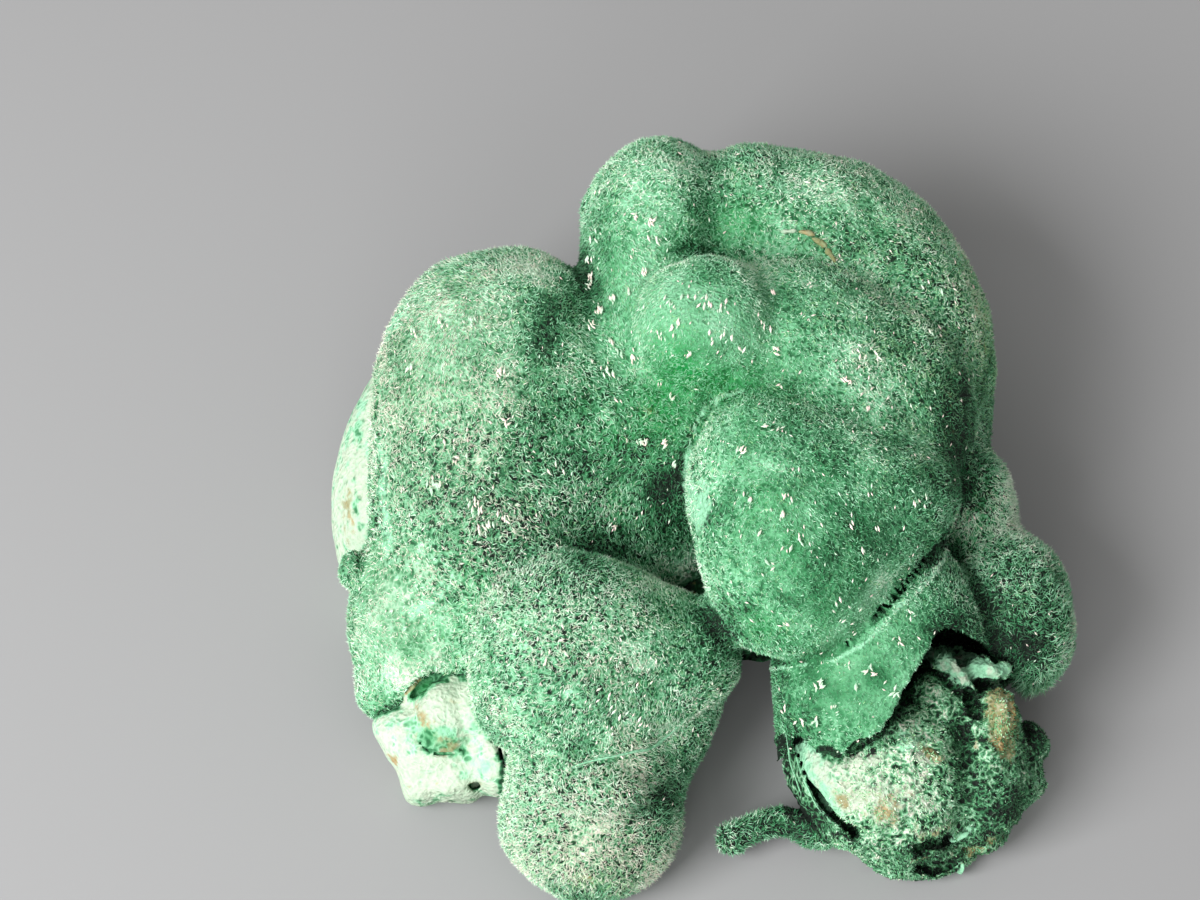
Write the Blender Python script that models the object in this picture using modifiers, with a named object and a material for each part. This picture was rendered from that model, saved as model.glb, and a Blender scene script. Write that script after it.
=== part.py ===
"""Botryoidal malachite specimen: one stone of velvety lobes, lying on its flat broken back.

The lobes are laid out in the growth frame, which faces the eye: X across, Y up along
the specimen and Z outwards, in millimetres. That frame is tipped back from the ground
plane by RECLINE, and the stone is cut off flat at the ground. Each group of lobes is
grown from spheres, fused and softened on its own, so lobes of one group melt together
and the groups meet in creases.
"""

import bpy
import bmesh
from math import radians
from mathutils import Matrix, Vector
from mathutils.bvhtree import BVHTree

MM = 0.001
RECLINE = radians(30)        # lean of the growth face back from facing straight up
FACE_HEIGHT = 22.0           # mm from the ground to the middle of the growth face
CENTRE = (0.0, 6.1)         # mm, ground point under the middle of the stone
VOXEL = 0.6                  # mm, grain of the fused solids
TRIANGLES = 9000             # of the finished stone
LAST_SOFTENING = 2           # passes of smoothing over the joined groups
CRACK_WIDTH = 0.9            # mm, open crack over the right lobe
CRACK_SINK = 0.2             # mm, how far the middle of the crack lies under the surface
CRACK_TIP = 0.4              # share of its width that the crack keeps at its two ends
REACH = 120.0                # mm, more than the stone's reach, for cutters
BALL_STEPS = 4               # subdivisions of a lobe's ball

# Lobes of each group: centre, half sizes and turn about the outward axis in degrees
LOBES = {
    "left": [
        ((-20.6, 12.0, -12.0), (12.4, 13.6, 13.0), 6),      # great left lobe
        ((-19.5, 18.0, -13.0), (10.4, 9.4, 11.2), 0),
        ((-22.6, 1.5, -11.0), (10.6, 11.0, 11.5), 0),       # its lower half
        ((-14.5, 5.0, -14.0), (10.5, 13.0, 10.0), 10),      # flank into the valley
        ((-27.0, -10.5, -11.0), (8.6, 11.0, 8.6), 0),       # skirt
        ((-25.0, -11.5, -7.0), (7.0, 1.8, 5.0), 38),        # ridge on the skirt
        ((-32.0, -17.4, -9.0), (2.6, 2.8, 3.6), 0),         # corner knob
        ((-34.8, -5.0, -9.0), (1.5, 2.2, 2.4), 0),          # edge knob
        ((-8.0, 1.0, -16.0), (14.0, 12.0, 9.0), 0),         # valley floor
        ((-6.0, 10.0, -13.0), (8.0, 9.0, 9.0), 0),          # saddle
        ((-6.8, 19.0, -13.5), (5.0, 14.0, 9.8), -4),        # ridge up to the top
        ((-4.8, 30.0, -16.0), (7.2, 9.2, 11.2), -8),        # top left lobe
    ],
    "top": [
        ((11.2, 26.8, -19.0), (15.0, 11.2, 12.0), -12),     # outer back lobe
        ((4.5, 30.8, -17.0), (7.0, 7.6, 9.0), 0),
        ((20.6, 18.0, -17.0), (9.8, 13.0, 12.0), 12),
        ((24.5, 8.0, -16.0), (5.2, 10.0, 10.0), 0),
    ],
    "centre": [
        ((0.2, 19.4, -6.0), (6.5, 7.0, 8.5), 0),            # upper dome
        ((11.0, 17.2, -9.5), (13.5, 9.0, 10.8), -12),       # ridge right of it
        ((21.0, 11.5, -10.0), (6.6, 8.6, 9.5), 0),
        ((12.5, 11.0, -3.2), (9.5, 6.4, 7.0), -10),         # shelf over the big lobe
        ((19.6, 9.2, -5.5), (5.8, 6.0, 7.5), 0),
        ((6.6, 4.2, 1.0), (7.8, 7.8, 9.5), 0),              # big lobe, upper part
        ((9.0, -3.0, 2.0), (9.6, 10.8, 10.5), 8),           # big lobe
        ((13.6, 3.6, 0.0), (8.0, 7.0, 9.2), 0),             # its back
        ((17.0, 0.4, -0.5), (8.8, 6.0, 8.6), 24),           # its right bulge
    ],
    "lower": [
        ((-13.4, -11.4, 0.0), (9.2, 8.6, 10.0), 0),         # lower middle dome
        ((-8.4, -13.0, -3.0), (12.6, 8.0, 10.5), -4),
        ((-13.0, -17.5, -1.0), (9.4, 6.6, 9.0), 0),
    ],
    "left_leg": [
        ((-11.0, -29.5, -3.0), (9.2, 8.2, 8.5), 0),         # bottom lobe
        ((-10.6, -24.0, -1.5), (8.6, 5.6, 8.0), 0),
        ((-10.2, -25.8, 4.4), (4.8, 3.0, 4.4), 0),          # small dome on it
        ((-3.4, -20.5, -6.0), (4.6, 9.5, 7.5), -28),        # flank up to the notch
    ],
    "shoulder": [
        ((26.2, 1.5, -12.0), (5.0, 6.4, 8.0), 0),
        ((30.6, -7.4, -8.5), (6.4, 6.4, 8.5), 0),           # dark right lobe
        ((31.8, -12.1, -9.0), (5.8, 5.3, 7.5), 0),
    ],
    "shell": [
        ((17.5, -14.0, -3.4), (10.8, 13.5, 11.0), -8),      # crust over the right leg
        ((18.2, -23.5, -4.4), (10.0, 10.2, 10.0), 0),
    ],
    "body": [
        ((-3.0, 6.0, -20.0), (24.0, 19.0, 12.0), 0),
    ],
    "finger": [
        ((11.8, -30.2, -4.5), (3.2, 2.3, 3.0), 0),
        ((8.0, -29.7, -4.5), (2.8, 1.5, 1.6), -5),
        ((5.2, -30.3, -4.5), (2.4, 1.4, 1.5), 8),
        ((3.1, -31.3, -4.5), (1.7, 1.8, 1.8), 0),
    ],
    "core": [
        ((18.8, -25.4, -4.0), (9.2, 8.6, 9.8), 0),          # bared inner nodule
        ((27.4, -24.3, -5.0), (5.0, 8.4, 8.0), 0),
        ((24.0, -19.2, -6.0), (5.4, 5.2, 7.5), 0),
        ((27.0, -13.0, -14.0), (6.0, 6.0, 5.0), 0),         # floor of the hollow
        ((21.5, -32.8, -6.0), (5.6, 3.2, 5.0), 0),
        ((32.8, -22.2, -7.0), (2.0, 2.3, 4.0), 0),
        ((31.9, -26.0, -7.0), (2.6, 2.9, 4.0), 0),
        ((28.7, -28.8, -6.0), (3.8, 2.6, 4.0), 30),
        ((29.0, -19.4, 0.0), (2.1, 3.2, 3.0), 10),          # lumpy patch
    ],
    "matrix": [
        ((-27.4, 3.0, -19.0), (10.1, 16.2, 9.0), -8),       # pale rim of the left edge
        ((-25.4, -24.1, -7.0), (7.2, 5.2, 5.0), -22),       # pale matrix under the skirt
        ((-23.6, -18.0, -10.0), (7.6, 6.0, 6.0), 0),
        ((-24.8, -19.4, -3.6), (3.3, 3.5, 3.2), 0),         # nodule in it
    ],
    "back": [
        ((3.0, 9.0, -27.0), (23.0, 21.0, 13.0), 0),         # broken back
        ((-2.0, -7.0, -18.0), (25.0, 9.0, 8.0), 0),         # fills in under the lower lobes
    ],
}

# Passes of smoothing that melt the lobes of a group together, and how far the group is
# then swelled in mm to make good what smoothing takes off
SOFTENING = {
    "left": (110, 0.55), "top": (50, 0.35), "centre": (70, 0.45), "lower": (40, 0.3),
    "left_leg": (14, 0.1), "shoulder": (16, 0.15), "shell": (20, 0.2), "body": (10, 0.0),
    "finger": (2, 0.05), "core": (4, 0.05), "matrix": (6, 0.1), "back": (6, 0.0),
}
# Height in mm and grain in mm of the lumps on each group; the bared groups are rough
LUMPS = {
    "left": (0.5, 5.0), "top": (0.6, 5.0), "centre": (0.5, 5.0), "lower": (0.5, 4.0),
    "left_leg": (0.6, 3.5), "shoulder": (0.6, 3.0), "shell": (0.4, 4.0), "body": (0.5, 5.0),
    "finger": (0.8, 1.8), "core": (1.8, 2.4), "matrix": (1.2, 2.6), "back": (3.4, 5.5),
}

# Broken edge of the shell, across and up, clockwise; what it rings is broken away
WINDOW = [
    (8.8, -22.0), (10.6, -22.8), (12.2, -23.7), (14.0, -24.0), (16.0, -22.2), (18.0, -20.5),
    (20.5, -16.5), (22.4, -13.6), (23.8, -11.5), (26.0, -11.9), (28.2, -13.4), (30.5, -15.9),
    (33.0, -18.4), (40.0, -22.0), (40.0, -42.0), (16.5, -42.0), (14.5, -32.0), (12.2, -30.2),
    (10.6, -28.0), (9.8, -25.0),
]
# Route of the open crack between the big lobe and the shell, across and up
CRACK = [
    (13.6, -11.6), (16.4, -9.0), (18.6, -6.4), (20.8, -4.6), (22.6, -2.6), (24.4, -0.2), (26.4, 2.0),
]
# Pits, in mm: place across and up, and radius
PITS = [(-27.4, -16.2, 1.5), (20.6, -31.4, 1.5), (25.6, -15.4, 1.6)]


def growth_frame():
    """Matrix from the growth frame in mm to the world in metres."""
    lift = Matrix.Translation((-CENTRE[0], -CENTRE[1], FACE_HEIGHT))
    return Matrix.Scale(MM, 4) @ lift @ Matrix.Rotation(RECLINE, 4, "X")


def new_object(name, mesh, collection):
    thing = bpy.data.objects.new(name, mesh)
    collection.objects.link(thing)
    return thing


def baked(thing):
    """Replace an object's mesh with its evaluated one and drop the modifiers."""
    evaluated = thing.evaluated_get(bpy.context.evaluated_depsgraph_get())
    mesh = bpy.data.meshes.new_from_object(evaluated)
    thing.modifiers.clear()
    thing.data = mesh


def lobe_mesh(name, lobes):
    """Icospheres, each stretched to its half sizes, turned and put in its place."""
    build = bmesh.new()
    for centre, half, turn in lobes:
        place = (
            Matrix.Translation(centre)
            @ Matrix.Rotation(radians(turn), 4, "Z")
            @ Matrix.Diagonal((*half, 1.0))
        )
        bmesh.ops.create_icosphere(build, subdivisions=BALL_STEPS, radius=1.0, matrix=place)
    mesh = bpy.data.meshes.new(name)
    build.to_mesh(mesh)
    build.free()
    return mesh


def add_remesh(thing):
    remesh = thing.modifiers.new("fuse", "REMESH")
    remesh.mode = "VOXEL"
    remesh.voxel_size = VOXEL


def add_smooth(thing, passes):
    smooth = thing.modifiers.new("soften", "SMOOTH")
    smooth.factor = 0.5
    smooth.iterations = passes


def add_swell(thing, height):
    swell = thing.modifiers.new("swell", "DISPLACE")
    swell.strength = height
    swell.mid_level = 0.0


def add_lumps(thing, height, grain):
    texture = bpy.data.textures.new(thing.name + "_lumps", "CLOUDS")
    texture.noise_scale = grain
    texture.noise_depth = 2
    lumps = thing.modifiers.new("lumps", "DISPLACE")
    lumps.texture = texture
    lumps.texture_coords = "LOCAL"
    lumps.strength = height
    lumps.mid_level = 0.5


def add_cut(thing, cutter):
    cut = thing.modifiers.new("cut", "BOOLEAN")
    cut.operation = "DIFFERENCE"
    cut.object = cutter
    cutter.hide_render = True
    cutter.display_type = "WIRE"


def group_solid(name, collection):
    """One group of lobes, fused, softened, swelled and made lumpy."""
    group = new_object(name, lobe_mesh(name, LOBES[name]), collection)
    passes, swelling = SOFTENING[name]
    add_remesh(group)
    add_smooth(group, passes)
    add_swell(group, swelling)
    add_lumps(group, *LUMPS[name])
    baked(group)
    return group


def window_cutter(collection):
    """Prism over the broken-away part of the shell."""
    outline = bpy.data.curves.new("window", "CURVE")
    outline.dimensions = "2D"
    outline.fill_mode = "BOTH"
    outline.extrude = REACH / 2
    edge = outline.splines.new("POLY")
    edge.points.add(len(WINDOW) - 1)
    for point, (across, up) in zip(edge.points, WINDOW):
        point.co = (across, up, 0.0, 1.0)
    edge.use_cyclic_u = True
    return curve_as_mesh(outline, collection)


def curve_as_mesh(curve, collection):
    """A curve made a closed mesh object, its caps welded on."""
    thing = new_object(curve.name, curve, collection)
    evaluated = thing.evaluated_get(bpy.context.evaluated_depsgraph_get())
    mesh = bpy.data.meshes.new_from_object(evaluated)
    build = bmesh.new()
    build.from_mesh(mesh)
    bmesh.ops.remove_doubles(build, verts=build.verts, dist=0.001)
    bmesh.ops.recalc_face_normals(build, faces=build.faces)
    build.to_mesh(mesh)
    build.free()
    bpy.data.objects.remove(thing)
    return new_object(curve.name + "_cutter", mesh, collection)


def surface_point(tree, across, up):
    """Point of the surface seen from the front at a place across and up."""
    return tree.ray_cast(Vector((across, up, REACH)), Vector((0, 0, -1)))[0]


def crack_cutter(tree, collection):
    """Tube along the crack's route, half sunk in the surface, pointed at its ends."""
    curve = bpy.data.curves.new("crack", "CURVE")
    curve.dimensions = "3D"
    curve.bevel_depth = CRACK_WIDTH / 2
    curve.bevel_resolution = 1
    curve.use_fill_caps = True
    route = curve.splines.new("POLY")
    route.points.add(len(CRACK) - 1)
    for stop, (across, up) in zip(route.points, CRACK):
        point = surface_point(tree, across, up)
        stop.co = (point.x, point.y, point.z - CRACK_SINK, 1.0)
    route.points[0].radius = CRACK_TIP
    route.points[-1].radius = CRACK_TIP
    return curve_as_mesh(curve, collection)


def pit_cutter(tree, collection):
    """Balls sunk in the surface at the pits."""
    build = bmesh.new()
    for across, up, radius in PITS:
        centre = surface_point(tree, across, up)
        bmesh.ops.create_icosphere(
            build, subdivisions=2, radius=radius, matrix=Matrix.Translation(centre))
    mesh = bpy.data.meshes.new("pits")
    build.to_mesh(mesh)
    build.free()
    return new_object("pit_cutter", mesh, collection)


def ground_cutter(collection):
    """Block below the ground, in the growth frame."""
    build = bmesh.new()
    bmesh.ops.create_cube(build, size=REACH * 2)
    down = Matrix.Translation((0, 0, -REACH - FACE_HEIGHT))
    bmesh.ops.transform(
        build, matrix=Matrix.Rotation(-RECLINE, 4, "X") @ down, verts=build.verts)
    mesh = bpy.data.meshes.new("ground")
    build.to_mesh(mesh)
    build.free()
    return new_object("ground_cutter", mesh, collection)


def surface_tree(thing):
    return BVHTree.FromObject(thing, bpy.context.evaluated_depsgraph_get())


def thinned(thing):
    """Collapse edges until about TRIANGLES are left."""
    thing.data.update()
    count = sum(len(face.vertices) - 2 for face in thing.data.polygons)
    thin = thing.modifiers.new("thin", "DECIMATE")
    thin.ratio = TRIANGLES / count
    baked(thing)


def malachite():
    surface = bpy.data.materials.new("velvet_malachite")
    surface.use_nodes = True
    shader = surface.node_tree.nodes["Principled BSDF"]
    shader.inputs["Base Color"].default_value = (0.16, 0.42, 0.26, 1.0)
    shader.inputs["Roughness"].default_value = 0.8
    shader.inputs["Metallic"].default_value = 0.0
    return surface


def build_stone(stone_collection, cutter_collection):
    groups = [group_solid(name, stone_collection) for name in LOBES]
    window = window_cutter(cutter_collection)
    for group in groups:
        if group.name in ("shell", "shoulder"):
            add_cut(group, window)
            baked(group)
    whole = bmesh.new()
    for group in groups:
        whole.from_mesh(group.data)
        bpy.data.objects.remove(group)
    mesh = bpy.data.meshes.new("malachite_specimen")
    whole.to_mesh(mesh)
    whole.free()
    stone = new_object("malachite_specimen", mesh, stone_collection)
    add_remesh(stone)
    add_smooth(stone, LAST_SOFTENING)
    baked(stone)
    thinned(stone)
    tree = surface_tree(stone)
    for cutter in (
        crack_cutter(tree, cutter_collection),
        pit_cutter(tree, cutter_collection),
        ground_cutter(cutter_collection),
    ):
        add_cut(stone, cutter)
        baked(stone)
    stone.data.transform(growth_frame())
    stone.data.materials.clear()
    stone.data.materials.append(malachite())
    stone.data.shade_smooth()
    return stone


def main():
    for thing in list(bpy.data.objects):
        bpy.data.objects.remove(thing)
    stone_collection = bpy.data.collections.new("malachite_specimen")
    cutter_collection = bpy.data.collections.new("cutters")
    bpy.context.scene.collection.children.link(stone_collection)
    bpy.context.scene.collection.children.link(cutter_collection)
    build_stone(stone_collection, cutter_collection)


main()
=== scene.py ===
"""Looks of the velvet malachite: crust, needle felt, bared nodule, chalky matrix and broken back.

Shapes are laid out in the growth frame of the specimen, in millimetres: u across, v up
along the face and w outwards. A solid is a field, a number for each place that is
negative inside it and grows outwards, so a union is a minimum and a cut is a maximum.
"""

from math import cos, radians, sin

import bpy
import numpy as np
from bpy.props import FloatProperty, FloatVectorProperty, IntProperty, PointerProperty
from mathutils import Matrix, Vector


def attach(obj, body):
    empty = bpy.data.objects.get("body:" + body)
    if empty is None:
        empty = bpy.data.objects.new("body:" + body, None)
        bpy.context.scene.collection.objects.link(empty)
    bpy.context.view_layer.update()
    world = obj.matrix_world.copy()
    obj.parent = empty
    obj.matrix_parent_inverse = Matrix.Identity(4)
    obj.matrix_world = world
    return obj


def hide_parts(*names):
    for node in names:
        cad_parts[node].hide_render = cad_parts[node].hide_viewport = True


bl_info = {
    "name": "Velvet malachite",
    "version": (1, 0, 0),
    "blender": (4, 5, 0),
    "location": "View3D > Sidebar > Malachite",
    "description": "Dresses a malachite specimen in crust, needle felt and broken stone",
    "category": "Add Mesh",
}

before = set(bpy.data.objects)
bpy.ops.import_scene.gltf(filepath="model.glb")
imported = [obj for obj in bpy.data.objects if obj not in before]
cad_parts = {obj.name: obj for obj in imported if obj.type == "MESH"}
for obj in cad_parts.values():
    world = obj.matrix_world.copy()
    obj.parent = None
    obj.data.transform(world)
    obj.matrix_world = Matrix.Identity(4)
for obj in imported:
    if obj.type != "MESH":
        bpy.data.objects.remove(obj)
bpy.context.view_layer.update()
NODE = "malachite_specimen"
BODY = "root"

MM = 0.001
RECLINE = radians(30)        # lean of the growth face back from facing straight up
FACE_HEIGHT = 22.0           # mm from the ground to the middle of the growth face
CENTRE = (0.0, 6.1)          # mm, ground point under the middle of the stone
LOW = (-41.0, -42.0, -40.0)  # mm, corner of the space that holds the stone
HIGH = (41.0, 44.0, 17.0)
CROWN = 33.5                 # mm above the ground, from where the crown is pressed down
PRESS = 0.12                 # mm pressed down for each square mm of height above that
BARE_FOOT = 0.5              # mm above the ground, below which there are no needles
CLEAR = 0.05                 # mm outside the other solids, within which there are none
SEED = 11

# Lobes of each group: centre, half sizes, turn about the outward axis in degrees, and
# over how many mm the lobe melts into those before it
LOBES = {
    "left": [
        ((-20.6, 12.0, -12.0), (12.4, 13.6, 13.0), 6, 0),
        ((-19.5, 18.0, -13.0), (10.4, 9.4, 11.2), 0, 4),
        ((-22.6, 1.5, -11.0), (10.6, 11.0, 11.5), 0, 5),
        ((-14.5, 5.0, -14.0), (10.5, 13.0, 10.0), 10, 7),
        ((-27.0, -10.5, -11.0), (8.6, 11.0, 8.6), 0, 4),
        ((-25.0, -11.5, -7.0), (7.0, 1.8, 5.0), 38, 3),
        ((-32.0, -17.4, -9.0), (2.6, 2.8, 3.6), 0, 2),
        ((-34.8, -5.0, -9.0), (1.5, 2.2, 2.4), 0, 0.6),
        ((-20.0, -4.0, -7.0), (8.0, 7.5, 8.0), 0, 5),
        ((-8.0, 1.0, -16.0), (14.0, 12.0, 9.0), 0, 7),
        ((-6.0, 10.0, -13.0), (8.0, 9.0, 9.0), 0, 6),
        ((-1.5, 9.5, -8.5), (5.0, 6.0, 6.0), 0, 5),
        ((-6.8, 19.0, -13.5), (5.0, 14.0, 9.8), -4, 2.2),
        ((-4.4, 30.0, -16.0), (7.6, 9.2, 11.2), -8, 3),
    ],
    "top": [
        ((11.2, 26.8, -19.0), (15.0, 11.2, 12.0), -12, 0),
        ((5.2, 30.8, -17.0), (6.6, 7.6, 9.0), 0, 2),
        ((20.6, 18.0, -17.0), (9.8, 13.0, 12.0), 12, 4),
        ((24.5, 8.0, -16.0), (5.2, 10.0, 10.0), 0, 3),
    ],
    "centre": [
        ((0.6, 19.2, -5.4), (7.6, 7.2, 10.0), 0, 0),
        ((11.0, 17.2, -9.5), (13.5, 9.0, 10.8), -12, 1.0),
        ((21.0, 11.5, -10.0), (6.6, 8.6, 9.5), 0, 4),
        ((12.5, 11.0, -3.2), (9.5, 6.4, 7.0), -10, 4),
        ((19.6, 9.2, -5.5), (5.8, 6.0, 7.5), 0, 4),
        ((6.4, 4.5, 1.0), (8.0, 8.5, 9.5), 0, 2.6),
        ((9.0, -3.0, 2.0), (9.6, 10.8, 10.5), 8, 4),
        ((13.6, 3.6, 0.0), (8.0, 7.0, 9.2), 0, 4),
        ((17.0, 0.4, -0.5), (8.8, 6.0, 8.6), 24, 4),
    ],
    "lower": [
        ((-13.4, -11.4, 0.0), (9.2, 8.6, 10.0), 0, 0),
        ((-8.4, -13.0, -3.0), (12.6, 8.0, 10.5), -4, 4),
        ((-13.0, -17.5, -1.0), (9.4, 6.6, 9.0), 0, 4),
    ],
    "left_leg": [
        ((-11.0, -29.5, -3.0), (9.2, 8.2, 8.5), 0, 0),
        ((-10.6, -24.0, -1.5), (8.6, 5.6, 8.0), 0, 3),
        ((-10.2, -25.8, 4.4), (4.8, 3.0, 4.4), 0, 1.2),
        ((-3.4, -20.5, -6.0), (4.6, 9.5, 7.5), -28, 2),
    ],
    "shoulder": [
        ((26.4, 1.5, -12.0), (5.9, 6.4, 8.0), 0, 0),
        ((30.6, -7.4, -8.5), (6.4, 6.4, 8.5), 0, 2),
        ((31.8, -12.1, -9.0), (5.8, 5.3, 7.5), 0, 3),
    ],
    "shell": [
        ((17.5, -14.0, -3.4), (10.8, 13.5, 11.0), -8, 0),
        ((18.0, -23.5, -4.4), (10.4, 10.2, 10.0), 0, 3),
    ],
    "body": [
        ((-3.0, 6.0, -20.0), (24.0, 19.0, 12.0), 0, 0),
    ],
    "finger": [
        ((11.8, -30.2, -4.5), (3.2, 2.3, 3.0), 0, 0),
        ((8.0, -29.7, -4.5), (2.8, 1.5, 1.6), -5, 1),
        ((5.2, -30.3, -4.5), (2.4, 1.4, 1.5), 8, 1),
        ((3.1, -31.3, -4.5), (1.7, 1.8, 1.8), 0, 0.8),
    ],
    "core": [
        ((18.8, -25.4, -4.0), (9.2, 8.6, 9.8), 0, 0),
        ((27.4, -24.3, -5.0), (5.0, 8.4, 8.0), 0, 0.6),
        ((24.0, -19.2, -6.0), (5.4, 5.2, 7.5), 0, 1.5),
        ((27.0, -13.0, -14.0), (6.0, 6.0, 5.0), 0, 1),
        ((21.5, -32.8, -6.0), (5.6, 3.2, 5.0), 0, 1),
        ((32.8, -22.2, -7.0), (2.0, 2.3, 4.0), 0, 0.6),
        ((31.9, -26.0, -7.0), (2.6, 2.9, 4.0), 0, 0.6),
        ((28.7, -28.8, -6.0), (3.8, 2.6, 4.0), 30, 0.6),
        ((28.8, -18.8, 0.0), (1.9, 2.7, 2.8), 10, 0.6),
        ((13.6, -24.8, -4.6), (5.0, 6.9, 8.2), 18, 1.5),
        ((24.8, -14.7, -1.6), (3.4, 1.1, 2.8), -46, 0.2),
        ((27.8, -14.5, -1.6), (2.6, 1.3, 2.5), -6, 0.2),
    ],
    "matrix": [
        ((-27.4, 3.0, -19.0), (10.1, 16.2, 9.0), -8, 0),
        ((-25.8, -22.4, -7.2), (6.6, 4.4, 5.0), -20, 1),
        ((-30.3, -21.2, -8.2), (2.7, 1.9, 4.2), -34, 0.6),
        ((-27.9, -26.2, -8.4), (2.0, 2.4, 4.2), 0, 1.6),
        ((-24.2, -25.6, -7.6), (3.4, 2.7, 4.8), 0, 1.2),
        ((-19.9, -22.8, -6.4), (3.6, 4.8, 5.4), 0, 0.8),
        ((-27.2, -16.8, -8.4), (3.8, 3.0, 4.6), 0, 0.5),
        ((-24.4, -16.4, -7.6), (3.2, 2.6, 4.3), 0, 0.5),
        ((-23.6, -18.0, -10.0), (7.6, 6.0, 6.0), 0, 1),
        ((-22.0, -18.6, -5.4), (3.6, 3.6, 4.4), 0, 0.6),
        ((-25.2, -19.3, -4.4), (3.3, 3.8, 3.3), 0, 0.3),
    ],
    "back": [
        ((3.0, 9.0, -27.0), (23.0, 21.0, 13.0), 0, 0),
        ((-2.0, -7.0, -18.0), (25.0, 9.0, 8.0), 0, 3),
    ],
}
# Groups of the crust, in the order they join, and over how many mm they melt together
CRUST = {
    "body": 0, "left": 0.5, "top": 2.4, "centre": 1.2, "lower": 2.0, "left_leg": 0.6,
    "shoulder": 0.8, "shell": 0.3, "finger": 0.5,
}
# Broken edge of the shell, across and up; what it rings is broken away
WINDOW = [
    (8.9, -20.9), (9.8, -21.2), (11.2, -22.6), (13.4, -23.0), (14.4, -21.2), (16.0, -20.6),
    (18.2, -18.6), (19.1, -15.9), (20.4, -14.2), (21.6, -12.4), (22.8, -10.2), (24.6, -10.4),
    (27.4, -12.0), (29.6, -13.6), (31.6, -16.2), (33.6, -18.4), (40.0, -22.0), (40.0, -42.0),
    (16.5, -42.0), (14.6, -32.0), (12.4, -29.6), (10.6, -27.0), (9.4, -24.0),
]
# Edge of the skirt over the chalk; what it rings is broken away
SKIRT_EDGE = [
    (-36.0, -20.3), (-32.8, -20.6), (-31.0, -19.6), (-29.6, -18.6), (-29.2, -17.3),
    (-28.0, -15.8), (-26.4, -14.9), (-24.7, -15.8), (-22.6, -17.6), (-19.0, -19.0),
    (-19.0, -30.0), (-36.0, -30.0),
]
# In mm: jags of these two edges, and the gap between the shell and the core along the
# first, with how far in under the shell it reaches
WINDOW_JAGS, SKIRT_JAGS = 0.35, 0.15
GAP_WIDTH, GAP_REACH = 0.9, 2.4
# Slots cut in a solid: route across and up with the half width at each stop, and depth
CRACK = ([
    (13.6, -11.8, 0.04), (16.4, -9.2, 0.12), (18.6, -6.6, 0.18),
    (20.8, -4.7, 0.22), (22.6, -2.7, 0.2), (24.4, -0.4, 0.16), (26.4, 1.6, 0.06),
], 1.6)
EDGE_GAP = ([
    (14.6, -22.2, 0.15), (17.6, -19.6, 0.3), (19.4, -16.8, 0.8), (20.6, -14.4, 1.0),
    (22.8, -11.6, 1.0), (26.0, -11.4, 1.1), (28.8, -12.8, 0.9),
], 2.0)
SLIVER_GAP = ([
    (9.2, -22.4, 0.06), (10.4, -25.4, 0.15), (12.4, -28.2, 0.4), (14.6, -30.2, 0.35),
], 2.4)
CORE_PITS = ([(20.9, -31.6, 0.7), (22.4, -31.2, 1.0), (23.9, -31.4, 0.6)], 2.4)
LOW_PIT = ([(21.2, -34.1, 0.6), (22.8, -34.0, 0.9), (24.4, -33.8, 0.7)], 2.2)
HOLLOW = ([(26.2, -17.0, 0.5), (26.8, -18.2, 0.7)], 1.6)
POCKET = ([(-28.6, -17.4, 0.2), (-27.7, -16.5, 0.55), (-26.7, -15.6, 0.25)], 1.2)
NODULE_EDGE = ([
    (-27.9, -21.6, 0.06), (-26.4, -22.9, 0.14), (-24.4, -22.9, 0.12), (-22.8, -22.2, 0.06),
], 0.5)
CREVICE = ([(-20.1, -21.6, 0.3), (-19.7, -22.8, 0.3), (-19.5, -23.8, 0.15)], 2.0)
HOLE = ([(-22.6, -26.2, 0.45), (-22.2, -26.1, 0.4)], 1.6)
RIM_CRACK = ([
    (-32.2, 14.0, 0.1), (-32.3, 11.0, 0.22), (-31.8, 8.0, 0.16), (-31.7, 4.0, 0.12),
    (-32.1, 0.5, 0.12), (-32.6, -1.0, 0.25), (-34.0, -2.2, 0.12),
], 0.8)


# ---------------------------------------------------------------- noise

KNOTS = 64                   # knots of the lattice along each side, before they repeat
CELLS = 32                   # the same for cells with a spot in each
SHIFT, CELL_SHIFT = 1000.37, 500.0   # lift places above zero, in knots and in cells
RANDOM = np.random.default_rng(SEED)
LATTICE = RANDOM.random((KNOTS, KNOTS, KNOTS), dtype=np.float32)
SPOTS = RANDOM.random((CELLS, CELLS, CELLS, 3), dtype=np.float32)


def noise(u, v, w, grain):
    """Smooth random value from -1 to 1: random numbers on a lattice of that grain in mm,
    eased between the eight nearest."""
    whole, ease = [], []
    for axis in (u, v, w):
        place = np.asarray(axis, np.float32) / grain + SHIFT
        floor = np.floor(place)
        part = place - floor
        whole.append(floor.astype(np.int64))
        ease.append(part * part * (3 - 2 * part))
    total = 0.0
    for corner in range(8):
        share, index = 1.0, []
        for axis in range(3):
            step = corner >> axis & 1
            share = share * (ease[axis] if step else 1 - ease[axis])
            index.append(whole[axis] + step & KNOTS - 1)
        total = total + share * LATTICE[tuple(index)]
    return total * 2 - 1


def rough(points, grain, octaves=3):
    """Sum of noises, each 2.1 times finer and half as high as the one before."""
    total, height = 0.0, 1.0
    for octave in range(octaves):
        total = total + height * noise(*(points.T + 17.3 * octave), grain / 2.1 ** octave)
        height *= 0.5
    return total


def grains(points, size):
    """Distance to the nearest of scattered points, one in each cell, in cells."""
    place = points / size + CELL_SHIFT
    floor = np.floor(place).astype(np.int64)
    nearest = np.full(len(points), 9.0, np.float32)
    for offset in np.ndindex(3, 3, 3):
        cell = floor + offset - 1
        spot = cell + SPOTS[tuple((cell & CELLS - 1).T)]
        nearest = np.minimum(nearest, ((spot - place) ** 2).sum(1))
    return np.sqrt(nearest)


# ---------------------------------------------------------------- fields

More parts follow.
